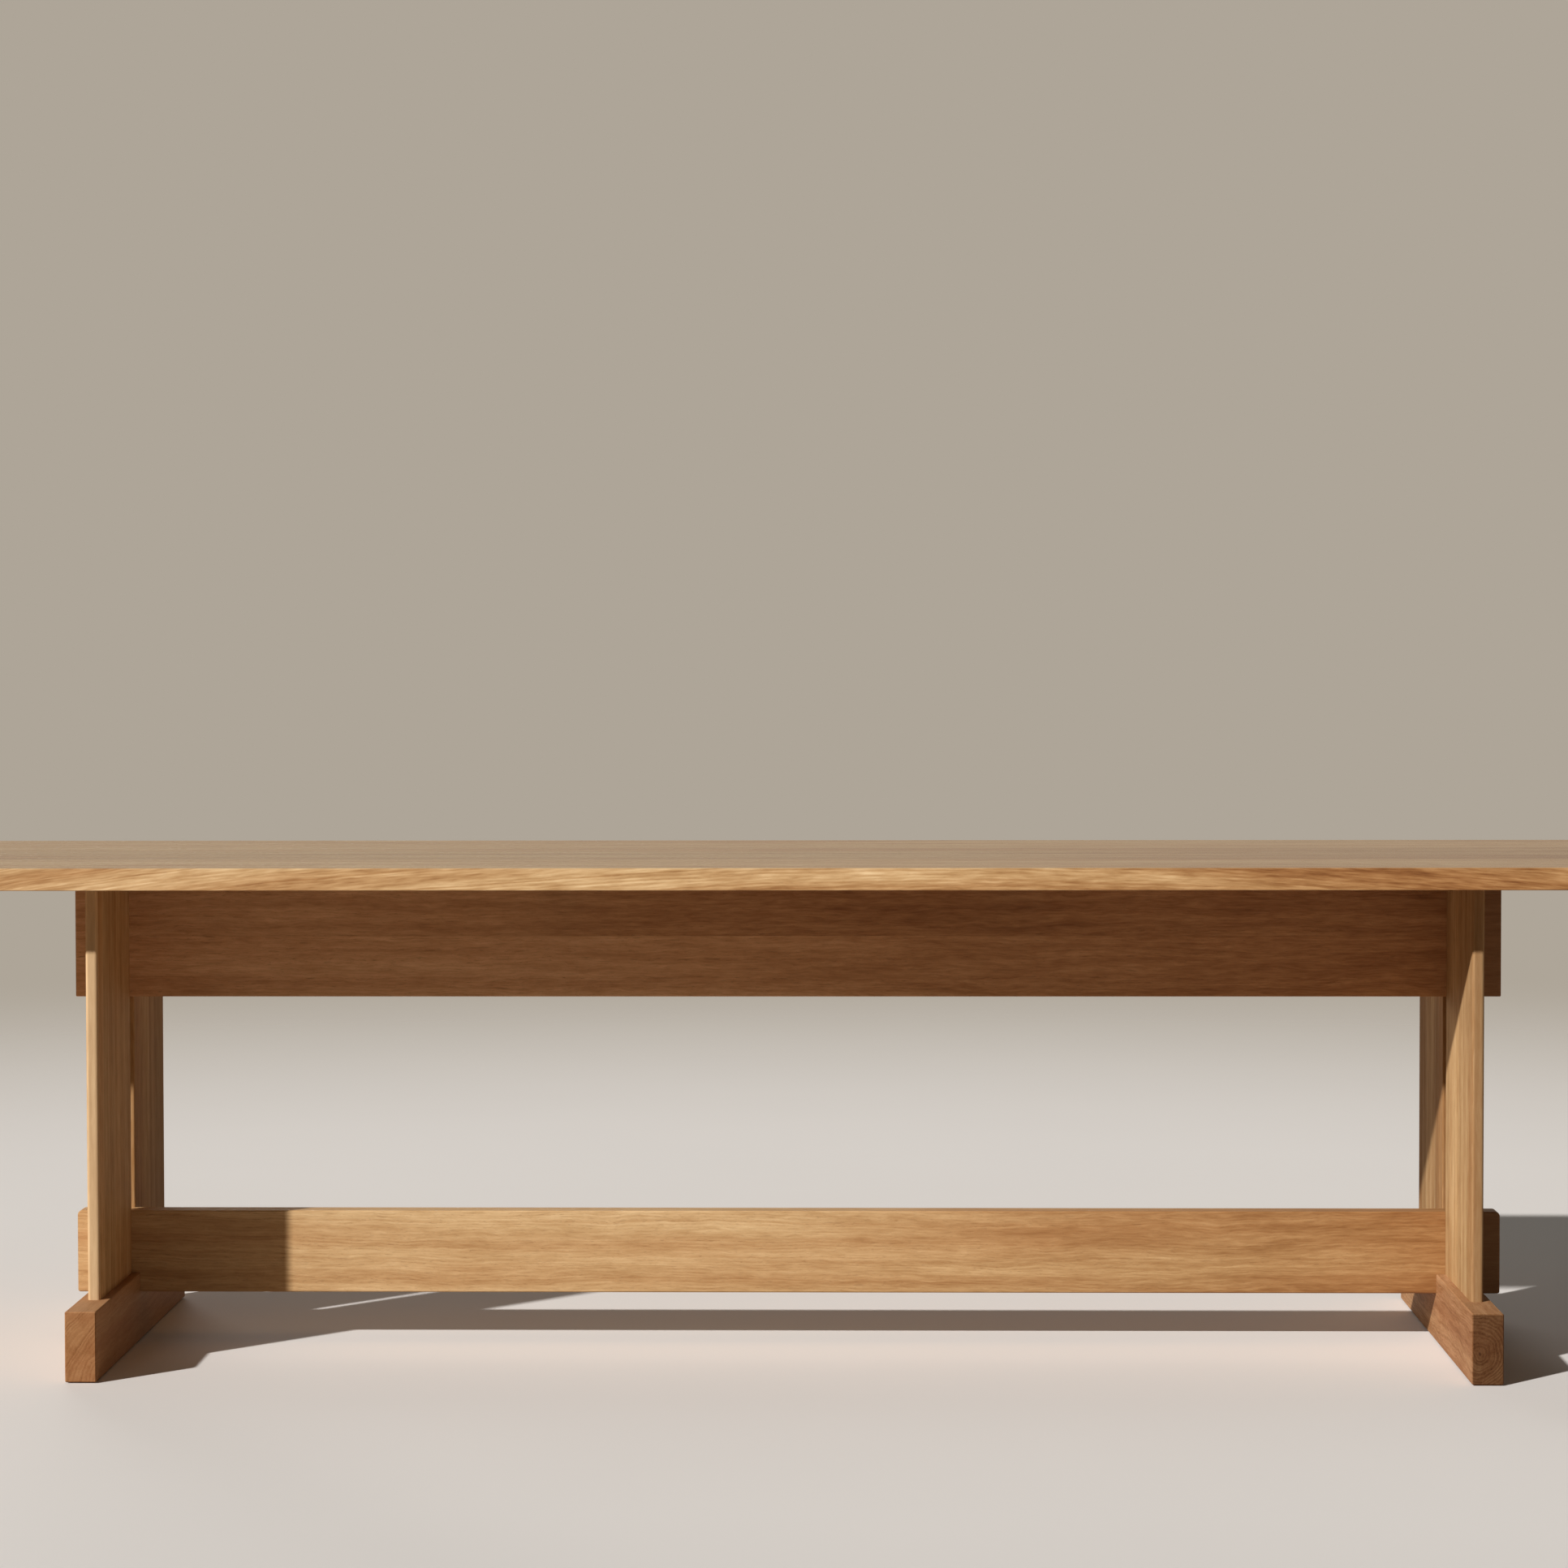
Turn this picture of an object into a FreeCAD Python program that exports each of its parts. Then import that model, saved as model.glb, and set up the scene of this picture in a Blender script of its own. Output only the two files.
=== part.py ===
"""Trestle dining table in solid oak.

A long edge-glued top rests on two plank trestles. Each trestle is a foot beam that
carries two wide upright boards, one in front of a narrow slot and one behind it. Two
rails on edge run the length of the table through the slots: a deep one under the top
and a lower one that is lapped into the feet. Nothing on the table moves.

Frame: millimetres, origin on the floor under the middle of the table, +X along the
table, +Y across it towards the back, +Z up.
"""
import FreeCAD, Part
import math
import os

from FreeCAD import Vector

# ---- Top -------------------------------------------------------------------------
TABLE_HEIGHT = 740.0
TOP_LENGTH = 2800.0
TOP_DEPTH = 800.0
TOP_THICKNESS = 32.0
TOP_ARRIS = 1.5
STAVE_COUNT = 7

# ---- Feet ------------------------------------------------------------------------
TOP_OVERHANG = 395.0  # from the end of the top to the middle of a trestle
FOOT_WIDTH = 45.0
FOOT_HEIGHT = 101.5
FOOT_TOE = 104.0  # how far the foot runs on past an upright
FOOT_ARRIS = 2.0

# ---- Upright boards --------------------------------------------------------------
UPRIGHT_WIDTH = 260.0
UPRIGHT_THICKNESS = 18.0
UPRIGHT_ROUND = 5.0  # on the edge that faces out of the trestle
UPRIGHT_HOUSED_ROUND = 2.5  # on the edge that enters the rails
TENON_THICKNESS = 10.0
TENON_LENGTH = 40.0
TENON_SHOULDER = 15.0  # at each end of the tenon, along the foot
TENON_LEAD = 1.5  # chamfer that leads a tenon into its mortise

# ---- Rails -----------------------------------------------------------------------
RAIL_THICKNESS = 38.0
RAIL_PROJECTION = 64.0  # past the outer face of the uprights
RAIL_ARRIS = 1.5
UPPER_RAIL_DEPTH = 184.0
LOWER_RAIL_DEPTH = 124.0
LOWER_RAIL_TOP_CORNER = 7.0
LOWER_RAIL_BOTTOM_CORNER = 3.5
HOUSING_DEPTH = 3.0  # how deep an upright's edge is let into a rail
LAP_DEPTH = 29.0  # how deep the lower rail is let into a foot

# ---- Slip tenons between uprights and rails ----------------------------------------
SLIP_TENON_HEIGHT = 44.0
SLIP_TENON_THICKNESS = 8.0
SLIP_TENON_REACH = 28.0  # into each upright

# ---- Bolt that draws each foot up to the lower rail --------------------------------
BOLT_DIAMETER = 8.0
BOLT_HEAD_DIAMETER = 13.0
BOLT_HEAD_HEIGHT = 8.0
BOLT_KEY_ACROSS_FLATS = 6.0
BOLT_KEY_DEPTH = 4.0
BOLT_TIP_SETBACK = 4.0  # from the far end of the insert to the bolt's tip
WASHER_DIAMETER = 18.0
WASHER_THICKNESS = 1.6
WASHER_ROOM = 1.0  # round the washer, in the counterbore
COUNTERBORE_DEPTH = 25.0
INSERT_DIAMETER = 12.0
INSERT_LENGTH = 28.0

# ---- Wooden buttons that hold the top to the upper rail and the uprights -----------
BAY_COUNT = 3  # equal bays between the trestles, with a pair of buttons in each
BUTTON_FROM_CENTRE = 75.0  # from the middle of a trestle to its buttons
BUTTON_WIDTH = 28.0
BUTTON_LENGTH = 40.0
BUTTON_THICKNESS = 20.0
BUTTON_CHAMFER = 3.0
TONGUE_LENGTH = 10.0
TONGUE_THICKNESS = 8.0
TONGUE_DROP = 10.0  # from the underside of the top to the tongue
BUTTON_PLAY = 2.0  # between button and carrying face, for the top to swell and shrink
BUTTON_SIDE_PLAY = 2.0  # each side of a tongue in its pocket
BUTTON_SCREW_BITE = 15.0  # how far the screw enters the top

# ---- Steel channels let into the underside of the top ------------------------------
CHANNEL_WIDTH = 38.0
CHANNEL_LEG = 12.0
CHANNEL_WALL = 2.5
CHANNEL_INNER_BEND = 1.0
CHANNEL_EDGE_SETBACK = 80.0  # from the long edge of the top to the channel's end
CHANNEL_SCREW_SETBACK = 60.0  # from the channel's end to its outermost screw
CHANNEL_SCREW_FROM_CENTRE = 95.0  # from the middle of the top to its innermost screw
CHANNEL_SCREW_BITE = 15.0
CHANNEL_SLOT_LENGTH = 12.0
CHANNEL_SLOT_PLAY = 0.5  # each side of a screw in its slot

# ---- Wood screws -------------------------------------------------------------------
SCREW_DIAMETER = 4.0
SCREW_HEAD_DIAMETER = 8.0
SCREW_HEAD_HEIGHT = 2.4
SCREW_POINT = 4.0
SCREW_TIP = 0.8  # across the flat tip of the point
SCREW_SIDES = 8  # a screw and its hole are drawn with flats

# ---- Floor glides ------------------------------------------------------------------
GLIDE_DIAMETER = 24.0
GLIDE_THICKNESS = 5.0
GLIDE_PROUD = 1.5
GLIDE_CHAMFER = 0.8
GLIDE_SETBACK = 34.0  # from the end of the foot
GLIDE_SIDES = 24  # a glide and its recess are drawn with flats

# ---- Eased edges -------------------------------------------------------------------
END_CHAMFER_SHARE = 0.75  # chamfer at the ends of a piece, against the round of its long edges

# ---- Clearances --------------------------------------------------------------------
JOINT_CLEARANCE = 0.1  # each side of a tenon, a housed edge or a let-in rail
MORTISE_BOTTOM_GAP = 1.0
HOLE_CLEARANCE = 0.05  # round a screw, insert or glide, and round a bolt in steel
BOLT_HOLE_CLEARANCE = 0.5  # round a bolt in the foot
PAST = 1.0  # how far a cutting solid runs on past the face that it opens
SAME_PLACE = 1e-6  # points nearer than this count as one

# ---- Levels and places that follow -------------------------------------------------
FOOT_BOTTOM_Z = GLIDE_PROUD
FOOT_TOP_Z = FOOT_BOTTOM_Z + FOOT_HEIGHT
WASHER_SEAT_Z = FOOT_BOTTOM_Z + COUNTERBORE_DEPTH
TOP_UNDERSIDE_Z = TABLE_HEIGHT - TOP_THICKNESS
UPPER_RAIL_BOTTOM_Z = TOP_UNDERSIDE_Z - UPPER_RAIL_DEPTH
LOWER_RAIL_BOTTOM_Z = FOOT_TOP_Z - LAP_DEPTH
LOWER_RAIL_TOP_Z = LOWER_RAIL_BOTTOM_Z + LOWER_RAIL_DEPTH
TRESTLE_X = TOP_LENGTH / 2 - TOP_OVERHANG
UPRIGHT_INNER_X = TRESTLE_X - UPRIGHT_THICKNESS / 2
UPRIGHT_OUTER_X = TRESTLE_X + UPRIGHT_THICKNESS / 2
RAIL_HALF_LENGTH = UPRIGHT_OUTER_X + RAIL_PROJECTION
RAIL_FACE_Y = RAIL_THICKNESS / 2
UPRIGHT_INNER_Y = RAIL_FACE_Y - HOUSING_DEPTH
UPRIGHT_OUTER_Y = UPRIGHT_INNER_Y + UPRIGHT_WIDTH
FOOT_HALF_LENGTH = UPRIGHT_OUTER_Y + FOOT_TOE
GLIDE_Y = FOOT_HALF_LENGTH - GLIDE_SETBACK
BAY_LENGTH = 2 * TRESTLE_X / BAY_COUNT
RAIL_BUTTON_XS = [-TRESTLE_X + BAY_LENGTH * (bay + 0.5) for bay in range(BAY_COUNT)]
CHANNEL_INNER_XS = [-TRESTLE_X + BAY_LENGTH * bay for bay in range(1, BAY_COUNT)]
CHANNEL_OUTER_X = (TRESTLE_X + TOP_LENGTH / 2) / 2
CHANNEL_XS = [-CHANNEL_OUTER_X] + CHANNEL_INNER_XS + [CHANNEL_OUTER_X]
CHANNEL_HALF_LENGTH = TOP_DEPTH / 2 - CHANNEL_EDGE_SETBACK
UPPER_SLIP_TENON_ZS = [UPPER_RAIL_BOTTOM_Z + UPPER_RAIL_DEPTH * quarters / 4 for quarters in (1, 3)]
LOWER_SLIP_TENON_ZS = [(FOOT_TOP_Z + LOWER_RAIL_TOP_Z) / 2]
SIDES = {"left": -1, "right": 1}
ROWS = {"front": -1, "rear": 1}
ALONG = Vector(1, 0, 0)
ACROSS = Vector(0, 1, 0)
UP = Vector(0, 0, 1)


# ---- Shape helpers -------------------------------------------------------------------
def block(x_limits, y_limits, z_limits):
    """Box between two limits on each axis, which may be given in either order."""
    low = Vector(min(x_limits), min(y_limits), min(z_limits))
    high = Vector(max(x_limits), max(y_limits), max(z_limits))
    size = high - low
    return Part.makeBox(size.x, size.y, size.z, low)


def about(centre, size):
    """Pair of limits that lie half a size to each side of a centre."""
    return centre - size / 2, centre + size / 2


def in_plan(u, v):
    """Point of an outline drawn in the XY plane."""
    return Vector(u, v, 0)


def in_front_view(u, v):
    """Point of an outline drawn in the XZ plane."""
    return Vector(u, 0, v)


def rounded_face(corners, place):
    """Face with straight sides and rounded corners, each given as (u, v, radius)."""
    arcs = []
    for index, (u, v, radius) in enumerate(corners):
        here = Vector(u, v, 0)
        last = Vector(*corners[index - 1][:2], 0)
        following = Vector(*corners[(index + 1) % len(corners)][:2], 0)
        back = (last - here).normalize()
        forth = (following - here).normalize()
        half_angle = back.getAngle(forth) / 2
        reach = radius / math.tan(half_angle)
        bisector = (back + forth).normalize()
        middle = here + bisector * (radius / math.sin(half_angle) - radius)
        arcs.append((here + back * reach, middle, here + forth * reach, radius))
    edges = []
    for index, (start, middle, end, radius) in enumerate(arcs):
        start, middle, end = (place(p.x, p.y) for p in (start, middle, end))
        next_start = arcs[(index + 1) % len(arcs)][0]
        if radius > 0:
            edges.append(Part.Arc(start, middle, end).toShape())
        edges.append(Part.LineSegment(end, place(next_start.x, next_start.y)).toShape())
    return Part.Face(Part.Wire(edges))


def rod(diameter, length, start):
    """Upright round bar."""
    return Part.makeCylinder(diameter / 2, length, start, UP)


def faceted_ring(sides, radius, height, stretch=0.0):
    """Round outline drawn with a few sides, which a stretch lengthens along Y."""
    points = []
    for side in range(sides):
        angle = 2 * math.pi * (side + 0.5) / sides
        shift = math.copysign(stretch / 2, math.sin(angle))
        points.append(Vector(radius * math.cos(angle), radius * math.sin(angle) + shift, height))
    return Part.makePolygon(points + points[:1])


def faceted_turning(sides, profile, start):
    """Upright solid through rings given as (radius, height), with flats for its sides."""
    rings = [faceted_ring(sides, radius, height) for radius, height in profile]
    solid = Part.makeLoft(rings, True, True).removeSplitter().Solids[0]
    return solid.translate(start)


def runs_along(edge, direction):
    """Whether a straight edge is parallel to a direction."""
    return abs(edge.tangentAt(edge.FirstParameter).dot(direction)) > 1 - SAME_PLACE


def lies_at_end(edge, shape, direction):
    """Whether an edge lies in the end of a shape that is furthest along a direction."""
    reach = max(vertex.Point.dot(direction) for vertex in shape.Vertexes)
    return all(abs(vertex.Point.dot(direction) - reach) < SAME_PLACE for vertex in edge.Vertexes)


def end_edges(shape, *directions):
    """Edges that lie at the ends of a shape in every one of the directions."""
    return [edge for edge in shape.Edges
            if all(lies_at_end(edge, shape, direction) for direction in directions)]


def eased(bar, arris, direction, kept_sharp=None):
    """Bar with its long edges rounded and its ends chamfered, save the edges of one face."""
    long_edges = [edge for edge in bar.Edges if runs_along(edge, direction)]
    if kept_sharp:
        long_edges = [edge for edge in long_edges if not lies_at_end(edge, bar, kept_sharp)]
    bar = bar.makeFillet(arris, long_edges)
    ends = end_edges(bar, direction) + end_edges(bar, -direction)
    if kept_sharp:
        ends = [edge for edge in ends if not lies_at_end(edge, bar, kept_sharp)]
    return bar.makeChamfer(arris * END_CHAMFER_SHARE, ends)


def cut_all(shape, cutters):
    """Shape with a list of solids taken away, as one solid."""
    return shape.cut(Part.makeCompound(cutters)).removeSplitter().Solids[0]


def placed(shape, place):
    """Copy of a shape that was drawn at the origin, stood at a place."""
    moved = shape.copy()
    moved.Placement = place.multiply(moved.Placement)
    return moved


# ---- Screws --------------------------------------------------------------------------
def pan_head_screw(seat, bite):
    """Upright wood screw whose head hangs under a seat and whose point lies a bite above it."""
    shank = SCREW_DIAMETER / 2
    rim = SCREW_HEAD_DIAMETER / 2
    half_height = SCREW_HEAD_HEIGHT / 2
    head = faceted_turning(SCREW_SIDES, [
        (rim - half_height, -SCREW_HEAD_HEIGHT), (rim, -half_height), (rim, 0),
    ], seat)
    stem = faceted_turning(SCREW_SIDES, [
        (shank, 0), (shank, bite - SCREW_POINT), (SCREW_TIP / 2, bite),
    ], seat)
    return head.fuse(stem).removeSplitter().Solids[0]


def countersunk_screw(seat, grip):
    """Upright wood screw whose conical head is flush with a seat."""
    shank = SCREW_DIAMETER / 2
    head = SCREW_HEAD_DIAMETER / 2
    return faceted_turning(SCREW_SIDES, [
        (head, 0), (shank, head - shank), (shank, grip - SCREW_POINT), (SCREW_TIP / 2, grip),
    ], seat)


def pilot_hole(seat, bite):
    """Hole for the shank of a screw, a little deeper than the screw."""
    radius = SCREW_DIAMETER / 2 + HOLE_CLEARANCE
    return faceted_turning(SCREW_SIDES, [(radius, -PAST), (radius, bite + MORTISE_BOTTOM_GAP)], seat)


def countersunk_hole(seat, length):
    """Hole right through a piece, with a cone for a countersunk head."""
    shank = SCREW_DIAMETER / 2 + HOLE_CLEARANCE
    head = SCREW_HEAD_DIAMETER / 2 + HOLE_CLEARANCE
    return faceted_turning(SCREW_SIDES, [
        (head + PAST, -PAST), (shank, head - shank), (shank, length + PAST),
    ], seat)


def slot(seat, thickness):
    """Slot across the table for a screw, upwards through sheet steel."""
    radius = SCREW_DIAMETER / 2 + CHANNEL_SLOT_PLAY
    outline = faceted_ring(SCREW_SIDES, radius, -PAST, CHANNEL_SLOT_LENGTH - 2 * radius)
    return Part.Face(outline).extrude(UP * (thickness + 2 * PAST)).translate(seat)


# ---- Places of the fixings -------------------------------------------------------------
def rail_button_places():
    """Where each button of the upper rail meets it, facing away from the rail."""
    return [FreeCAD.Placement(Vector(x, row * RAIL_FACE_Y, TOP_UNDERSIDE_Z), FreeCAD.Rotation(UP, row * 90))
            for x in RAIL_BUTTON_XS for row in ROWS.values()]


def upright_button_place(side, row):
    """Where the button of an upright meets it, facing the middle of the table."""
    start = Vector(side * UPRIGHT_INNER_X, row * BUTTON_FROM_CENTRE, TOP_UNDERSIDE_Z)
    return FreeCAD.Placement(start, FreeCAD.Rotation(UP, 180 if side > 0 else 0))


def button_places():
    """Places of all the buttons."""
    return rail_button_places() + [upright_button_place(side, row)
                                   for side in SIDES.values() for row in ROWS.values()]


def button_screw_seat():
    """Underside of a button at the origin, where its screw starts."""
    return Vector(BUTTON_PLAY + BUTTON_LENGTH / 2, 0, -BUTTON_THICKNESS)


def channel_screw_seats(x):
    """Underside of one channel, where its screws start."""
    outermost = CHANNEL_HALF_LENGTH - CHANNEL_SCREW_SETBACK
    return [Vector(x, row * reach, TOP_UNDERSIDE_Z)
            for row in ROWS.values() for reach in (CHANNEL_SCREW_FROM_CENTRE, outermost)]


def glide_centres(side):
    """Points on the floor under the glides of one foot."""
    return [Vector(side * TRESTLE_X, row * GLIDE_Y, 0) for row in ROWS.values()]


# ---- Top -------------------------------------------------------------------------------
def channel_recess(x):
    """Shallow recess for a channel's web with a deep groove for each of its legs."""
    y_limits = about(0, 2 * (CHANNEL_HALF_LENGTH + MORTISE_BOTTOM_GAP))
    half = CHANNEL_WIDTH / 2 + JOINT_CLEARANCE
    groove = CHANNEL_WALL + CHANNEL_INNER_BEND + 2 * JOINT_CLEARANCE
    web_top = TOP_UNDERSIDE_Z + CHANNEL_WALL
    leg_top = TOP_UNDERSIDE_Z + CHANNEL_LEG + MORTISE_BOTTOM_GAP
    start = TOP_UNDERSIDE_Z - PAST
    web = block((x - half, x + half), y_limits, (start, web_top))
    left_leg = block((x - half, x - half + groove), y_limits, (start, leg_top))
    right_leg = block((x + half - groove, x + half), y_limits, (start, leg_top))
    return web.fuse([left_leg, right_leg])


def tabletop_slab():
    """Whole top before it is divided into its staves."""
    slab = block(about(0, TOP_LENGTH), about(0, TOP_DEPTH), (TOP_UNDERSIDE_Z, TABLE_HEIGHT))
    slab = eased(slab, TOP_ARRIS, ALONG)
    cutters = [channel_recess(x) for x in CHANNEL_XS]
    for x in CHANNEL_XS:
        cutters += [pilot_hole(seat, CHANNEL_SCREW_BITE) for seat in channel_screw_seats(x)]
    button_hole = pilot_hole(button_screw_seat(), BUTTON_THICKNESS + BUTTON_SCREW_BITE)
    cutters += [placed(button_hole, place) for place in button_places()]
    return cut_all(slab, cutters)


def top_staves():
    """Edge-glued staves of the top, from the front edge to the back edge."""
    slab = tabletop_slab()
    width = TOP_DEPTH / STAVE_COUNT
    staves = {}
    for index in range(STAVE_COUNT):
        front = -TOP_DEPTH / 2 + width * index
        slice_of_top = block(about(0, TOP_LENGTH + 2 * PAST), (front, front + width),
                             (TOP_UNDERSIDE_Z - PAST, TABLE_HEIGHT + PAST))
        staves[f"top_stave_{index + 1}"] = slab.common(slice_of_top).Solids[0]
    return staves


# ---- Rails -----------------------------------------------------------------------------
def housings(z_limits):
    """Grooves that take the edges of the uprights, on both faces of a rail."""
    width = UPRIGHT_THICKNESS + 2 * JOINT_CLEARANCE
    mouth_y = RAIL_FACE_Y + PAST
    return [block(about(side * TRESTLE_X, width), (row * UPRIGHT_INNER_Y, row * mouth_y), z_limits)
            for side in SIDES.values() for row in ROWS.values()]


def slip_tenon_bar(x, z, reach, clearance):
    """Bar across a rail, the shape of a slip tenon or of its mortise."""
    return block(about(x, SLIP_TENON_THICKNESS + 2 * clearance), (-reach, reach),
                 about(z, SLIP_TENON_HEIGHT + 2 * clearance))


def through_mortises(levels):
    """Mortises for the slip tenons, right through a rail."""
    return [slip_tenon_bar(side * TRESTLE_X, z, RAIL_FACE_Y + PAST, JOINT_CLEARANCE)
            for side in SIDES.values() for z in levels]


def button_pocket():
    """Pocket for the tongue of a button at the origin, cut back from the carrying face."""
    roof = -TONGUE_DROP
    floor = roof - TONGUE_THICKNESS - MORTISE_BOTTOM_GAP
    return block((-TONGUE_LENGTH, PAST), about(0, BUTTON_WIDTH + 2 * BUTTON_SIDE_PLAY), (floor, roof))


def upper_rail():
    """Deep rail directly under the top, square at its ends."""
    rail = block(about(0, 2 * RAIL_HALF_LENGTH), about(0, RAIL_THICKNESS),
                 (UPPER_RAIL_BOTTOM_Z, TOP_UNDERSIDE_Z))
    rail = eased(rail, RAIL_ARRIS, ALONG, kept_sharp=UP)
    cutters = housings((UPPER_RAIL_BOTTOM_Z - PAST, TOP_UNDERSIDE_Z + PAST))
    cutters += through_mortises(UPPER_SLIP_TENON_ZS)
    cutters += [placed(button_pocket(), place) for place in rail_button_places()]
    return cut_all(rail, cutters)


def lower_rail():
    """Shallower rail let into the feet, with its ends rounded off."""
    half = RAIL_HALF_LENGTH
    corners = [
        (-half, LOWER_RAIL_BOTTOM_Z, LOWER_RAIL_BOTTOM_CORNER),
        (half, LOWER_RAIL_BOTTOM_Z, LOWER_RAIL_BOTTOM_CORNER),
        (half, LOWER_RAIL_TOP_Z, LOWER_RAIL_TOP_CORNER),
        (-half, LOWER_RAIL_TOP_Z, LOWER_RAIL_TOP_CORNER),
    ]
    rail = rounded_face(corners, in_front_view).extrude(ACROSS * RAIL_THICKNESS)
    rail.translate(ACROSS * -RAIL_FACE_Y)
    rail = rail.makeChamfer(RAIL_ARRIS, end_edges(rail, ACROSS) + end_edges(rail, -ACROSS))
    cutters = housings((FOOT_TOP_Z, LOWER_RAIL_TOP_Z + PAST))
    cutters += through_mortises(LOWER_SLIP_TENON_ZS)
    for side in SIDES.values():
        start = Vector(side * TRESTLE_X, 0, LOWER_RAIL_BOTTOM_Z - PAST)
        depth = INSERT_LENGTH + MORTISE_BOTTOM_GAP + PAST
        cutters.append(rod(INSERT_DIAMETER + 2 * HOLE_CLEARANCE, depth, start))
    return cut_all(rail, cutters)


def slip_tenons(levels):
    """Slip tenons that cross a rail into the uprights in front of it and behind it."""
    reach = UPRIGHT_INNER_Y + SLIP_TENON_REACH
    tenons = []
    for side in SIDES.values():
        for z in levels:
            bar = slip_tenon_bar(side * TRESTLE_X, z, reach, 0)
            ends = end_edges(bar, ACROSS) + end_edges(bar, -ACROSS)
            tenons.append(bar.makeChamfer(TENON_LEAD, ends))
    return Part.makeCompound(tenons)


# ---- Trestles --------------------------------------------------------------------------
def foot_tenon(side, row, clearance, length):
    """Tenon under an upright, or the mortise for it, hanging down from the foot's top."""
    near = row * (UPRIGHT_INNER_Y + TENON_SHOULDER - clearance)
    far = row * (UPRIGHT_OUTER_Y - TENON_SHOULDER + clearance)
    return block(about(side * TRESTLE_X, TENON_THICKNESS + 2 * clearance), (near, far),
                 (FOOT_TOP_Z - length, FOOT_TOP_Z))


def upright(side, row):
    """Wide board that stands on a foot, in front of the rails or behind them."""
    x0, x1 = about(side * TRESTLE_X, UPRIGHT_THICKNESS)
    inner_y = row * UPRIGHT_INNER_Y
    outer_y = row * UPRIGHT_OUTER_Y
    corners = [
        (x0, inner_y, UPRIGHT_HOUSED_ROUND), (x1, inner_y, UPRIGHT_HOUSED_ROUND),
        (x1, outer_y, UPRIGHT_ROUND), (x0, outer_y, UPRIGHT_ROUND),
    ]
    board = rounded_face(corners, in_plan).extrude(UP * (TOP_UNDERSIDE_Z - FOOT_TOP_Z))
    board.translate(UP * FOOT_TOP_Z)
    tenon = foot_tenon(side, row, 0, TENON_LENGTH)
    tenon = tenon.makeChamfer(TENON_LEAD, end_edges(tenon, -UP))
    board = board.fuse(tenon).removeSplitter().Solids[0]
    reach = UPRIGHT_INNER_Y + SLIP_TENON_REACH + MORTISE_BOTTOM_GAP
    cutters = [slip_tenon_bar(side * TRESTLE_X, z, reach, JOINT_CLEARANCE)
               for z in UPPER_SLIP_TENON_ZS + LOWER_SLIP_TENON_ZS]
    cutters.append(placed(button_pocket(), upright_button_place(side, row)))
    return cut_all(board, cutters)


def foot(side):
    """Foot beam with a lap for the lower rail and a mortise for each upright."""
    x = side * TRESTLE_X
    beam = block(about(x, FOOT_WIDTH), about(0, 2 * FOOT_HALF_LENGTH), (FOOT_BOTTOM_Z, FOOT_TOP_Z))
    beam = eased(beam, FOOT_ARRIS, ACROSS)
    lap = block(about(x, FOOT_WIDTH + 2 * PAST), about(0, RAIL_THICKNESS + 2 * JOINT_CLEARANCE),
                (LOWER_RAIL_BOTTOM_Z, FOOT_TOP_Z + PAST))
    cutters = [lap]
    for row in ROWS.values():
        cutters.append(foot_tenon(side, row, JOINT_CLEARANCE, TENON_LENGTH + MORTISE_BOTTOM_GAP))
    underside = Vector(x, 0, FOOT_BOTTOM_Z - PAST)
    counterbore = WASHER_DIAMETER + 2 * WASHER_ROOM
    cutters.append(rod(BOLT_DIAMETER + 2 * BOLT_HOLE_CLEARANCE, FOOT_HEIGHT, underside))
    cutters.append(rod(counterbore, COUNTERBORE_DEPTH + PAST, underside))
    rim = GLIDE_DIAMETER / 2 + HOLE_CLEARANCE
    cutters += [faceted_turning(GLIDE_SIDES, [(rim, 0), (rim, GLIDE_THICKNESS)], centre)
                for centre in glide_centres(side)]
    return cut_all(beam, cutters)


# ---- Fixings ---------------------------------------------------------------------------
def foot_bolt(side):
    """Socket-head bolt, up through the foot into the insert in the lower rail."""
    x = side * TRESTLE_X
    seat_z = WASHER_SEAT_Z - WASHER_THICKNESS
    head_z = seat_z - BOLT_HEAD_HEIGHT
    tip_z = LOWER_RAIL_BOTTOM_Z + INSERT_LENGTH - BOLT_TIP_SETBACK
    head = rod(BOLT_HEAD_DIAMETER, BOLT_HEAD_HEIGHT, Vector(x, 0, head_z))
    shank = rod(BOLT_DIAMETER, tip_z - seat_z, Vector(x, 0, seat_z))
    corner = BOLT_KEY_ACROSS_FLATS / math.sqrt(3)
    hexagon = [Vector(x + corner * math.cos(turn * math.pi / 3),
                      corner * math.sin(turn * math.pi / 3), head_z - PAST) for turn in range(7)]
    key = Part.Face(Part.makePolygon(hexagon)).extrude(UP * (BOLT_KEY_DEPTH + PAST))
    return head.fuse(shank).cut(key).removeSplitter().Solids[0]


def foot_washer(side):
    """Washer between the bolt's head and the bottom of the counterbore."""
    start = Vector(side * TRESTLE_X, 0, WASHER_SEAT_Z - WASHER_THICKNESS)
    disc = rod(WASHER_DIAMETER, WASHER_THICKNESS, start)
    return disc.cut(rod(BOLT_DIAMETER + 2 * HOLE_CLEARANCE, WASHER_THICKNESS, start))


def rail_insert(side):
    """Threaded insert in the underside of the lower rail."""
    start = Vector(side * TRESTLE_X, 0, LOWER_RAIL_BOTTOM_Z)
    sleeve = rod(INSERT_DIAMETER, INSERT_LENGTH, start)
    return sleeve.cut(rod(BOLT_DIAMETER + 2 * HOLE_CLEARANCE, INSERT_LENGTH, start))


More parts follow.
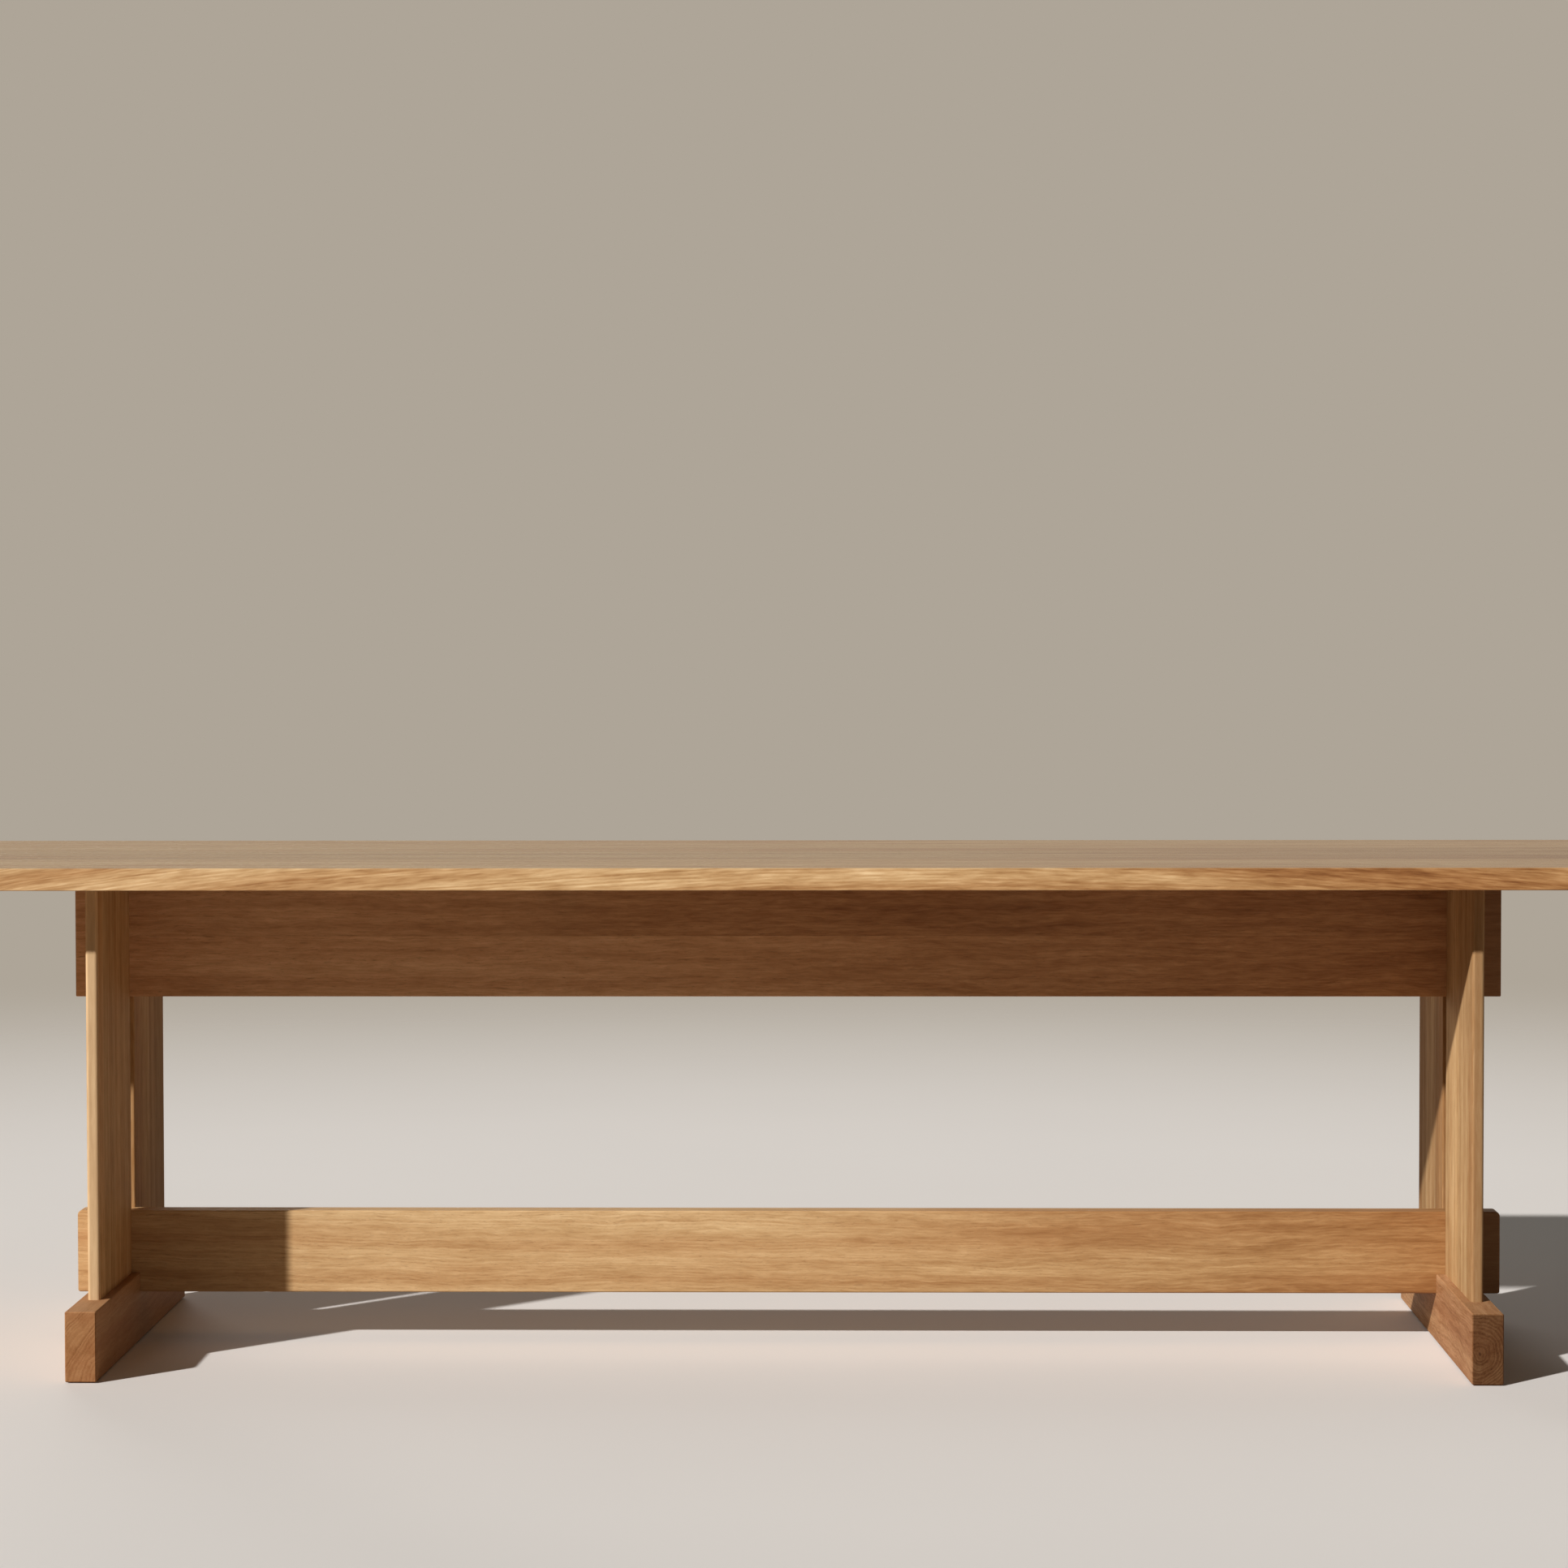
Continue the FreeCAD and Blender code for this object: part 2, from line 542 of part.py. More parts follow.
def top_button():
    """Wooden button at the origin, whose tongue pulls up under the roof of its pocket."""
    y_limits = about(0, BUTTON_WIDTH)
    body = block((BUTTON_PLAY, BUTTON_PLAY + BUTTON_LENGTH), y_limits, (-BUTTON_THICKNESS, 0))
    body = body.makeChamfer(BUTTON_CHAMFER, end_edges(body, ALONG, -UP))
    tongue = block((BUTTON_PLAY - TONGUE_LENGTH, BUTTON_PLAY), y_limits,
                   (-TONGUE_DROP - TONGUE_THICKNESS, -TONGUE_DROP))
    return cut_all(body.fuse(tongue), [countersunk_hole(button_screw_seat(), BUTTON_THICKNESS)])


def stiffener_channel(x):
    """Steel channel, legs up, flush with the underside of the top."""
    half = CHANNEL_WIDTH / 2
    inside = half - CHANNEL_WALL
    low = TOP_UNDERSIDE_Z
    web_top = low + CHANNEL_WALL
    leg_top = low + CHANNEL_LEG
    outer_bend = CHANNEL_INNER_BEND + CHANNEL_WALL
    corners = [
        (x - half, low, outer_bend),
        (x + half, low, outer_bend),
        (x + half, leg_top, 0),
        (x + inside, leg_top, 0),
        (x + inside, web_top, CHANNEL_INNER_BEND),
        (x - inside, web_top, CHANNEL_INNER_BEND),
        (x - inside, leg_top, 0),
        (x - half, leg_top, 0),
    ]
    channel = rounded_face(corners, in_front_view).extrude(ACROSS * (2 * CHANNEL_HALF_LENGTH))
    channel.translate(ACROSS * -CHANNEL_HALF_LENGTH)
    return cut_all(channel, [slot(seat, CHANNEL_WALL) for seat in channel_screw_seats(x)])


def floor_glide(centre):
    """Round glide let into the foot, standing a little proud of it."""
    rim = GLIDE_DIAMETER / 2
    return faceted_turning(GLIDE_SIDES, [
        (rim - GLIDE_CHAMFER, 0), (rim, GLIDE_CHAMFER), (rim, GLIDE_THICKNESS),
    ], centre)


# ---- Assembly --------------------------------------------------------------------------
def build_nodes():
    """Every node of the table by name."""
    nodes = top_staves()
    nodes["upper_rail"] = upper_rail()
    nodes["lower_rail"] = lower_rail()
    nodes["upper_rail_slip_tenons"] = slip_tenons(UPPER_SLIP_TENON_ZS)
    nodes["lower_rail_slip_tenons"] = slip_tenons(LOWER_SLIP_TENON_ZS)
    for side_name, side in SIDES.items():
        nodes[f"{side_name}_foot"] = foot(side)
        for row_name, row in ROWS.items():
            nodes[f"{side_name}_{row_name}_upright"] = upright(side, row)
    for index, x in enumerate(CHANNEL_XS):
        nodes[f"stiffener_channel_{index + 1}"] = stiffener_channel(x)
    nodes.update(fixing_nodes())
    return nodes


def fixing_nodes():
    """Groups of identical fixings, each group one node."""
    sides = SIDES.values()
    button_screw = countersunk_screw(button_screw_seat(), BUTTON_THICKNESS + BUTTON_SCREW_BITE)
    channel_seats = [seat for x in CHANNEL_XS for seat in channel_screw_seats(x)]
    groups = {
        "foot_bolts": [foot_bolt(side) for side in sides],
        "foot_washers": [foot_washer(side) for side in sides],
        "rail_inserts": [rail_insert(side) for side in sides],
        "top_buttons": [placed(top_button(), place) for place in button_places()],
        "button_screws": [placed(button_screw, place) for place in button_places()],
        "channel_screws": [pan_head_screw(seat, CHANNEL_SCREW_BITE) for seat in channel_seats],
        "floor_glides": [floor_glide(centre) for side in sides for centre in glide_centres(side)],
    }
    return {name: Part.makeCompound(solids) for name, solids in groups.items()}


def main():
    """Build every node, report it and write it to its STEP file."""
    os.makedirs("parts", exist_ok=True)
    for name, shape in build_nodes().items():
        if not shape.isValid():
            raise ValueError(f"{name} is not a valid shape")
        shape.exportStep(f"parts/{name}.step")
        print(f"{name}: {len(shape.Solids)} solid(s), {shape.Volume / 1000:.1f} cm3")


main()
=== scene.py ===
"""Finishes and small fittings of a trestle dining table in solid oak, and a plain studio.

The construction comes from the frame. This script gives every piece its finish: each oak
board is cut from a log of its own, so its faces, edges and ends show one set of growth
rings. It also makes the screws, whose round heads and drive recesses are finer than the
frame's, and sets the floor, the lamps and the camera.
"""
from __future__ import annotations

import logging
import math
import random
from dataclasses import dataclass, field, replace
from enum import Enum
from typing import Union

import bmesh
import bpy
from mathutils import Matrix, Vector

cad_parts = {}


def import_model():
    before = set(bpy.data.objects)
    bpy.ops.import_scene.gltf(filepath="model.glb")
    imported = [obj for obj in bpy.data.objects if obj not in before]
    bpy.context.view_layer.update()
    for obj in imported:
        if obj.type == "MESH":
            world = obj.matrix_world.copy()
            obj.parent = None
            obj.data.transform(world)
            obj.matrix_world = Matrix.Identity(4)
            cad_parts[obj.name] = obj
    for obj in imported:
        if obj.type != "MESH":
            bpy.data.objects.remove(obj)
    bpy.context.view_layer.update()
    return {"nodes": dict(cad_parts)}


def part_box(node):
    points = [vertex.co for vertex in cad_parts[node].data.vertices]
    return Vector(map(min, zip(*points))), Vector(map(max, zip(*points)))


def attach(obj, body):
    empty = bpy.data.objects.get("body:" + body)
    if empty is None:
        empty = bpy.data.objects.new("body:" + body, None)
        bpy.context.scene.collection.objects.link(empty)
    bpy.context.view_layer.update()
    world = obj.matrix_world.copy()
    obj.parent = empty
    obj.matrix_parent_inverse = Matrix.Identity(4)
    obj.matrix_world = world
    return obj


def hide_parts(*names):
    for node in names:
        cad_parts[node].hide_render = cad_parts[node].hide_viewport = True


LOG = logging.getLogger("trestle_table")
BODY = "root"

Colour = tuple[float, float, float]
Value = Union["Wire", float, int]


def srgb(red: int, green: int, blue: int) -> Colour:
    """Linear colour of an sRGB colour that is given from 0 to 255.

    Args:
        red: Red, 0 to 255.
        green: Green, 0 to 255.
        blue: Blue, 0 to 255.

    Returns:
        The three linear values that the shader sockets take.
    """
    def linear(value: int) -> float:
        """Linear value of one channel."""
        share = value / 255
        return share / 12.92 if share <= 0.04045 else ((share + 0.055) / 1.055) ** 2.4

    return linear(red), linear(green), linear(blue)


# ---- Shader maths --------------------------------------------------------------------
class Wire:
    """A shader socket that takes part in Python arithmetic."""

    def __init__(self, recipe: Recipe, socket: bpy.types.NodeSocket) -> None:
        """Wrap a socket of a recipe's tree."""
        self.recipe = recipe
        self.socket = socket

    def __add__(self, other: Value) -> Wire:
        """Sum."""
        return self.recipe.math("ADD", self, other)

    __radd__ = __add__

    def __sub__(self, other: Value) -> Wire:
        """Difference."""
        return self.recipe.math("SUBTRACT", self, other)

    def __rsub__(self, other: Value) -> Wire:
        """Difference with the wire on the right."""
        return self.recipe.math("SUBTRACT", other, self)

    def __mul__(self, other: Value) -> Wire:
        """Product."""
        return self.recipe.math("MULTIPLY", self, other)

    __rmul__ = __mul__

    def __truediv__(self, other: Value) -> Wire:
        """Quotient."""
        return self.recipe.math("DIVIDE", self, other)

    def __pow__(self, other: Value) -> Wire:
        """Power."""
        return self.recipe.math("POWER", self, other)

    def __abs__(self) -> Wire:
        """Size without its sign."""
        return self.recipe.math("ABSOLUTE", self)

    def floor(self) -> Wire:
        """Whole number below."""
        return self.recipe.math("FLOOR", self)

    def fraction(self) -> Wire:
        """What is left above the whole number below."""
        return self.recipe.math("FRACT", self)

    def root(self) -> Wire:
        """Square root."""
        return self.recipe.math("SQRT", self)

    def rise(self, start: Value, end: Value) -> Wire:
        """Smooth step from 0 at start to 1 at end."""
        return self.recipe.node("ShaderNodeMapRange", {"interpolation_type": "SMOOTHSTEP"}, {
            "Value": self, "From Min": start, "From Max": end, "To Min": 0.0, "To Max": 1.0})


class Recipe:
    """The node tree of a material or a world, written as expressions on wires."""

    def __init__(self, owner: bpy.types.Material | bpy.types.World) -> None:
        """Start with an empty tree.

        Args:
            owner: The new material or world.
        """
        owner.use_nodes = True
        self.owner = owner
        self.tree = owner.node_tree
        self.tree.nodes.clear()

    def node(self, kind: str, settings: dict | None = None, inputs: dict | None = None,
             output: str | int = 0) -> Wire | None:
        """Add a node, set it up and feed its sockets.

        Args:
            kind: Blender's name of the node type.
            settings: Properties of the node, set before its sockets.
            inputs: Wires, numbers or tuples by socket name, identifier or index.
            output: Name or index of the output to hand back.

        Returns:
            The chosen output as a wire, or None for a node that has no outputs.
        """
        made = self.tree.nodes.new(kind)
        for name, setting in (settings or {}).items():
            setattr(made, name, setting)
        for key, value in (inputs or {}).items():
            socket = made.inputs[key] if isinstance(key, int) else self._socket(made, key)
            if isinstance(value, Wire):
                self.tree.links.new(value.socket, socket)
            elif isinstance(value, tuple) and len(socket.default_value) == 4:
                socket.default_value = (*value, 1.0)
            else:
                socket.default_value = value
        return Wire(self, made.outputs[output]) if made.outputs else None

    @staticmethod
    def _socket(node: bpy.types.Node, key: str) -> bpy.types.NodeSocket:
        """Input of a node by its name, or by its identifier where names repeat."""
        for socket in node.inputs:
            if socket.identifier == key:
                return socket
        return next(socket for socket in node.inputs if socket.name == key and socket.enabled)

    def math(self, operation: str, *values: Value) -> Wire:
        """Math node on one, two or three values."""
        return self.node("ShaderNodeMath", {"operation": operation}, dict(enumerate(values)))

    def place(self) -> tuple[Wire, Wire, Wire]:
        """Position on the piece, in metres, as three wires."""
        position = self.node("ShaderNodeTexCoord", output="Object")
        return self.split(self.node("ShaderNodeSeparateXYZ", inputs={"Vector": position}))

    def facing(self, axis: str, both: bool = True) -> Wire:
        """How squarely a surface faces along an axis, or along it either way."""
        normal = self.node("ShaderNodeTexCoord", output="Normal")
        along = self.node("ShaderNodeSeparateXYZ", inputs={"Vector": normal}, output=axis)
        return abs(along) if both else along

    def vector(self, x: Value, y: Value, z: Value) -> Wire:
        """Vector from three values."""
        return self.node("ShaderNodeCombineXYZ", inputs={"X": x, "Y": y, "Z": z})

    def noise(self, vector: Wire, detail: float = 2.0, roughness: float = 0.5,
              scale: float = 1.0) -> Wire:
        """Fractal noise about 0, nearly all of it between -0.5 and 0.5."""
        made = self.node("ShaderNodeTexNoise", {"noise_dimensions": "3D"}, {
            "Vector": vector, "Scale": scale, "Detail": detail, "Roughness": roughness})
        return made - 0.5

    def swirl(self, vector: Wire, detail: float) -> tuple[Wire, Wire]:
        """Two unlike fractal noises about 0."""
        colour = self.node("ShaderNodeTexNoise", {"noise_dimensions": "3D"}, {
            "Vector": vector, "Scale": 1.0, "Detail": detail}, "Color")
        red, green, _ = self.split(self.node("ShaderNodeSeparateColor", inputs={"Color": colour}))
        return red - 0.5, green - 0.5

    def drift(self, value: Wire, scale: float) -> Wire:
        """Noise about 0 along one value."""
        made = self.node("ShaderNodeTexNoise", {"noise_dimensions": "1D"}, {
            "W": value, "Scale": scale, "Detail": 1.0})
        return made - 0.5

    def draw(self, value: Wire) -> tuple[Wire, Wire, Wire]:
        """Three random numbers from 0 to 1 that belong to a whole number."""
        colour = self.node(
            "ShaderNodeTexWhiteNoise", {"noise_dimensions": "1D"}, {"W": value}, "Color")
        return self.split(self.node("ShaderNodeSeparateColor", inputs={"Color": colour}))

    def split(self, first: Wire) -> tuple[Wire, Wire, Wire]:
        """All three outputs of a node that separates a colour or a vector, from the first."""
        return tuple(Wire(self, socket) for socket in first.socket.node.outputs)

    def blend(self, share: Value, first: Wire | Colour, second: Wire | Colour,
              way: str = "MIX") -> Wire:
        """Colour between two colours, or one laid over the other."""
        return self.node(
            "ShaderNodeMix", {"data_type": "RGBA", "blend_type": way, "clamp_factor": True},
            {"Factor_Float": share, "A_Color": first, "B_Color": second}, 2)

    def tint(self, colour: Wire | Colour, tone: Wire | Colour) -> Wire:
        """Colour multiplied by another."""
        return self.blend(1.0, colour, tone, "MULTIPLY")

    def grey(self, value: Value) -> Wire:
        """Grey colour of one value."""
        return self.node("ShaderNodeCombineColor", inputs={
            "Red": value, "Green": value, "Blue": value})

    def stain(self, tone: Wire) -> Wire:
        """Colour that darkens wood as stain does: redder where darker, paler where lighter."""
        return self.node("ShaderNodeCombineColor", inputs={
            "Red": tone, "Green": tone ** 1.4, "Blue": tone ** 1.9})

    def bump(self, height: Wire, depth: float, strength: float) -> Wire:
        """Normal of a surface whose relief is a height from 0 to 1 times a depth in metres."""
        return self.node("ShaderNodeBump", inputs={
            "Height": height, "Distance": depth, "Strength": strength}, output="Normal")

    def close(self, **sockets: Value | Colour) -> bpy.types.Material:
        """Feed the surface shader and finish the material.

        Args:
            **sockets: Values by socket name, with underscores for the spaces.

        Returns:
            The finished material.
        """
        surface = self.node("ShaderNodeBsdfPrincipled", inputs={
            name.replace("_", " "): value for name, value in sockets.items()})
        self.node("ShaderNodeOutputMaterial", inputs={"Surface": surface})
        return self.owner


def material_recipe(name: str) -> Recipe:
    """Recipe of a new material."""
    return Recipe(bpy.data.materials.new(name))


# ---- Finishes ------------------------------------------------------------------------
class Axis(Enum):
    """Direction of a board's grain, with the two directions across it."""

    X = ("X", "Y", "Z")
    Y = ("Y", "X", "Z")
    Z = ("Z", "X", "Y")


@dataclass(frozen=True)
class Cut:
    """How one board was sawn from its log. Lengths are in metres.

    Attributes:
        grain: Direction of the grain.
        heart: Where the log's heart passes, in the two directions across the grain.
        lean: Slope of the heart along the board, in the same two directions.
        bow: How much the heart bends in the second direction, per metre squared.
        wander: How far the heart strays along the board.
        seed: Number that gives the board its own figure.
        ring: Width of a growth ring.
        shade: Brightness of the board against its neighbours.
        warmth: Share of the redder tone, from 0 to 1.
        figure: Strength of the rings and streaks.
        fade: Painted shade: how much darker and redder the board gets towards its far end,
            standing in for light that falls off there.
        sway: Waviness of the grain.
        end_shade: Brightness of the end grain against the faces; on the right foot it also holds
            painted shade.
        strip: Width of the strips that the board is glued up from, or 0 for one board.
        strip_start: Where the first strip starts, in the second direction across the grain.
        strip_spread: How much brighter the palest strip is than the darkest, at most.
        rim: Where the second direction meets an edge whose tone carries painted light or shade, if
            it does.
        painted_edge_tone: Colour of that edge: paler sapwood with a painted highlight, or painted
            shade.
        painted_shade_start: Where the painted shade of the far end starts, if there is one.
        face: Shade, figure and fade, the painted falloff, of the face that looks up, where it
            differs from the rest.
    """

    grain: Axis
    heart: tuple[float, float]
    lean: tuple[float, float] = (0.0, 0.0)
    bow: float = 0.0
    wander: float = 0.03
    seed: float = 0.0
    ring: float = 0.0038
    shade: float = 1.0
    warmth: float = 0.3
    figure: float = 1.0
    fade: float = 0.0
    sway: float = 1.0
    end_shade: float = 0.85
    strip: float = 0.0
    strip_start: float = 0.0
    strip_spread: float = 0.28
    rim: float | None = None
    painted_edge_tone: Colour = srgb(232, 205, 168)
    painted_shade_start: float | None = None
    face: tuple[float, float, float] | None = None


@dataclass(frozen=True)
class Layer:
    """One layer of noise in the wood, finer across the grain than along it.

    Attributes:
        along: Waves per metre along the grain.
        across: Waves per metre across the grain.
        detail: How many finer noises are added to it.
    """

    along: float
    across: float
    detail: float = 1.0


# Waves that bend the grain, and how far each of them moves it, in metres.
BEND, BEND_REACH = Layer(1.6, 9.0, 2.0), 0.02
WAVE, WAVE_REACH = Layer(9.0, 28.0, 2.0), 0.012
CURL, CURL_REACH = Layer(36.0, 80.0), 0.003
# Start and scale of the noise that the heart follows, in the two directions across the grain.
HEART_DRIFT = ((0.0, 0.55), (31.7, 0.5))
# How far apart a board's strips grew at most: along the log and in the two directions across.
STRIP_SHIFT = (3.0, 0.03, 0.09)
# Half the width of a glue seam in metres, and how dark it is.
SEAM, SEAM_DEPTH = 0.0006, 0.35
# Marks laid over the wood, the pith, an edge tone with painted light or shade, and the painted
# shade of a far end: over which distance each fades, in metres, and how strong it is.
PITH, PITH_DEPTH = (0.0005, 0.0035), 0.7
PAINTED_EDGE_REACH, PAINTED_EDGE_DEPTH = (0.003, 0.009), 0.35
PAINTED_SHADE_RAMP, PAINTED_SHADE_DEPTH = 0.012, 0.6
# Noise that shows in the wood. Oak adds streaks and mottle, which get finer with the rings.
LONG_PORES = Layer(40.0, 480.0)
FINE_PORES = Layer(110.0, 1400.0)
FIBRE = Layer(30.0, 380.0, 3.0)
BANDS = Layer(0.9, 28.0)
CLOUD = Layer(1.3, 9.0, 3.0)


class Board:
    """Wires of one board: where its points lie in the log, and what grew there.

    Attributes:
        recipe: Recipe of the board's material.
        cut: How the board was sawn.
        place: Place on the piece, along the grain and in the two directions across it.
        length: Place along the grain, moved with the strip where there are strips.
        along: Place along the grain for the noise, with its own start for each board.
        first: Place in the log in the first direction across the grain.
        second: Place in the log in the second direction across the grain.
        strip_shade: Brightness of the strip against the others.
        seam: Darkness of the glue seams.
        radius: Distance from the log's heart.
    """

    def __init__(self, recipe: Recipe, cut: Cut) -> None:
        """Find where the board's points lie in the log.

        Args:
            recipe: Recipe of the board's material.
            cut: How the board was sawn.
        """
        self.recipe = recipe
        self.cut = cut
        by_axis = dict(zip("XYZ", recipe.place()))
        self.place = [by_axis[axis] for axis in cut.grain.value]
        self.length, self.first, self.second = self.place
        self.strip_shade: Value = 1.0
        self.seam: Value = 0.0
        if cut.strip:
            self.glue_up()
        self.along = self.length + cut.seed * 1.37
        self.follow_heart()
        self.warp()
        self.radius = ((self.first - cut.heart[0]) ** 2 + (self.second - cut.heart[1]) ** 2).root()

    def glue_up(self) -> None:
        """Divide the board into strips that grew at different places in the log."""
        cut = self.cut
        steps = (self.second - cut.strip_start) / cut.strip
        luck = self.recipe.draw(steps.floor() + cut.seed)
        self.length = self.length + luck[2] * STRIP_SHIFT[0]
        self.first = self.first + (luck[0] - 0.5) * STRIP_SHIFT[1]
        self.second = self.second + (luck[1] - 0.5) * STRIP_SHIFT[2]
        self.strip_shade = 1.0 + (luck[0] - 0.5) * cut.strip_spread
        edge = abs(steps.fraction() - 0.5)
        self.seam = edge.rise(0.5 - SEAM / cut.strip, 0.5) * SEAM_DEPTH

    def follow_heart(self) -> None:
        """Let the heart stray, lean and bow along the board, and the grain with it."""
        cut = self.cut
        stray = [self.recipe.drift(self.along + start, scale) * (2.0 * cut.wander)
                 for start, scale in HEART_DRIFT]
        self.first = self.first + stray[0] + self.length * cut.lean[0]
        self.second = self.second + stray[1] + self.length * (self.length * cut.bow + cut.lean[1])

    def warp(self) -> None:
        """Bend the grain in long, short and very short waves."""
        bend = self.recipe.swirl(self.stretch(BEND), BEND.detail)
        wave = self.recipe.swirl(self.stretch(WAVE), WAVE.detail)
        curl = self.noise(CURL) * CURL_REACH
        moves = [(long * BEND_REACH + short * WAVE_REACH + curl) * self.cut.sway
                 for long, short in zip(bend, wave)]
        self.first, self.second = self.first + moves[0], self.second + moves[1]

    def stretch(self, layer: Layer) -> Wire:
        """Place in the log at the scale of a layer of noise."""
        return self.recipe.vector(
            self.along * layer.along, self.first * layer.across, self.second * layer.across)

    def noise(self, layer: Layer) -> Wire:
        """Noise about 0 of one layer."""
        return self.recipe.noise(self.stretch(layer), layer.detail)

    def early_wood(self, end_grain: Wire, figure: Value) -> Wire:
        """Porous early wood, which starts each ring and thins out into the late wood.

        Args:
            end_grain: 1 on the end grain and 0 on the faces.
            figure: Strength of the rings.

        Returns:
            How much of it there is, from 0 up.
        """
        rings = self.radius / self.cut.ring + self.recipe.drift(self.radius, 60.0) * 1.6
        phase = rings.fraction()
        strength = self.recipe.draw(rings.floor())[0] * 0.85 + 0.15
        share = (1.0 - phase.rise(0.3, 1.0)) * phase.rise(0.0, 0.4) * strength
        return share * (end_grain * 1.1 + 0.75) * figure

    def pores(self, early: Wire) -> Wire:
        """Open pores, long and fine ones, that crowd in the early wood.

        Args:
            early: How much early wood there is.

        Returns:
            Depth of the pores, from 0 up.
        """
        long_pores = self.noise(LONG_PORES).rise(0.1, 0.26) * (early * 0.5 + 0.15)
        fine_pores = self.noise(FINE_PORES).rise(0.08, 0.2) * (early * 0.4 + 0.2)
        return self.recipe.math("MAXIMUM", long_pores, fine_pores)


@dataclass(frozen=True)
class Oak:
    """Oiled oak, with growth rings, open pores, fibre and a darker, redder end grain.

    Attributes:
        late: Colour of the dense late wood.
        early: Colour of the porous early wood.
        red: Tone that warm stretches lean to.
        pore: Colour inside the open pores.
        end: Tone that multiplies the end grain, before its shade.
        gloss: Roughness of the oiled surface.
        index: Index of refraction of the finish, lower where it is thin.
        pored: How strongly the pores show.
        rubbed: Roughness of the face that looks up, where it is rubbed smoother than the rest.
        relief: Depth of the pores and fibres, in metres.
    """

    late: Colour = srgb(207, 171, 124)
    early: Colour = srgb(178, 134, 86)
    red: Colour = srgb(184, 134, 86)
    pore: Colour = srgb(126, 88, 50)
    end: Colour = srgb(252, 240, 228)
    gloss: float = 0.5
    index: float = 1.38
    pored: float = 0.4
    rubbed: float | None = None
    relief: float = 0.00025

    def material(self, name: str, cut: Cut) -> bpy.types.Material:
        """Material of one board.

        Args:
            name: Name of the material.
            cut: How the board was sawn.

        Returns:
            The board's own material.
        """
        recipe = material_recipe(name)
        board = Board(recipe, cut)
        # Each is 1 on flat faces that look up or along the grain, and fades round their edges.
        up = recipe.facing("Z", both=False).rise(0.5, 0.95)
        end_grain = recipe.facing(cut.grain.value[0]).rise(0.5, 0.85)
        looks: list[Value] = [cut.shade, cut.figure, cut.fade]
        if cut.face is not None:
            looks = [up * (face - rest) + rest for face, rest in zip(cut.face, looks)]
        shade, figure, fade = looks

        early = board.early_wood(end_grain, figure)
        pores = board.pores(early)
        per_ring = 0.4 / cut.ring
        streaks = board.noise(Layer(6.0, per_ring, 2.0))
        mottle = board.noise(Layer(26.0, 1.4 * per_ring, 2.0))
        fibre, bands, cloud = (board.noise(layer) for layer in (FIBRE, BANDS, CLOUD))
        # Painted shade: the wood darkens and reddens towards the board's far end, as if the light
        # fell off there.
        painted_falloff_share = board.length.rise(-0.3, 1.3) * fade

        warm = cloud * 1.4 - bands + painted_falloff_share + cut.warmth
        grain = streaks * 0.45 + mottle * 0.2 + fibre * 0.44 + bands * 0.34
        tone = 1.0 + grain * figure + cloud * 0.2 - painted_falloff_share
        colour = recipe.blend(early * 0.7, self.late, self.early)
        colour = recipe.blend(warm.rise(0.0, 1.0) * 0.8, colour, self.red)
        colour = recipe.tint(colour, recipe.stain(tone))
        colour = recipe.tint(colour, recipe.grey(board.strip_shade * shade))
        colour = recipe.blend(pores * self.pored, colour, self.pore)
        colour = self.mark(board, colour)
        end_tone = tuple(channel * cut.end_shade for channel in self.end)
        colour = recipe.blend(end_grain, colour, recipe.tint(colour, end_tone))

        height = fibre * 0.4 + streaks * 0.3 - pores * 0.7 - early * 0.2
        gloss: Value = self.gloss
        if self.rubbed is not None:
            gloss = gloss + up * (self.rubbed - self.gloss)
            height = height * (1.0 - up * 0.65)
        return recipe.close(
            Base_Color=colour, Roughness=pores * 0.2 + end_grain * 0.15 + gloss,
            IOR=self.index, Normal=recipe.bump(height + 1.0, self.relief, 0.6))

    def mark(self, board: Board, colour: Wire) -> Wire:
        """Lay the heart, the seams, the edge tone of painted light or shade and the painted shade
        of the far end over the wood.

        Args:
            board: The board's wires.
            colour: Colour of the clear wood.

        Returns:
            The colour with these marks.
        """
        cut = board.cut
        recipe = board.recipe
        length, _, across = board.place
        pith = 1.0 - board.radius.rise(*PITH)
        colour = recipe.blend(pith * PITH_DEPTH, colour, self.pore)
        if cut.strip:
            colour = recipe.blend(board.seam, colour, self.pore)
        # Painted light and shade: the edge tone is paler sapwood with a painted highlight on the
        # left uprights, painted shade on the right ones.
        if cut.rim is not None:
            near = 1.0 - abs(across - cut.rim).rise(*PAINTED_EDGE_REACH)
            colour = recipe.blend(near * PAINTED_EDGE_DEPTH, colour, cut.painted_edge_tone)
        # Painted shade: the far end darkens towards the pore colour.
        if cut.painted_shade_start is not None:
            painted_shade = length.rise(cut.painted_shade_start, cut.painted_shade_start + PAINTED_SHADE_RAMP)
            colour = recipe.blend(painted_shade * PAINTED_SHADE_DEPTH, colour, self.pore)
        return colour


@dataclass(frozen=True)
class PowderCoat:
    """Matt black powder coat with a faint orange peel.

    Attributes:
        colour: Colour of the coat.
        gloss: Roughness of the coat.
        peel: Bumps of the orange peel per metre.
        cloud: Clouds in the tone per metre.
    """

    colour: Colour = srgb(38, 38, 40)
    gloss: float = 0.55
    peel: float = 900.0
    cloud: float = 14.0

    def material(self, name: str) -> bpy.types.Material:
        """Material of a coated piece."""
        recipe = material_recipe(name)
        place = recipe.vector(*recipe.place())
        peel = recipe.noise(place, scale=self.peel)
        cloud = recipe.noise(place, scale=self.cloud)
        colour = recipe.tint(self.colour, recipe.grey(1.0 + peel * 0.5 + cloud * 0.2))
        return recipe.close(Base_Color=colour, Roughness=self.gloss + peel * 0.1,
                            Normal=recipe.bump(peel + 0.5, 0.0001, 0.6))


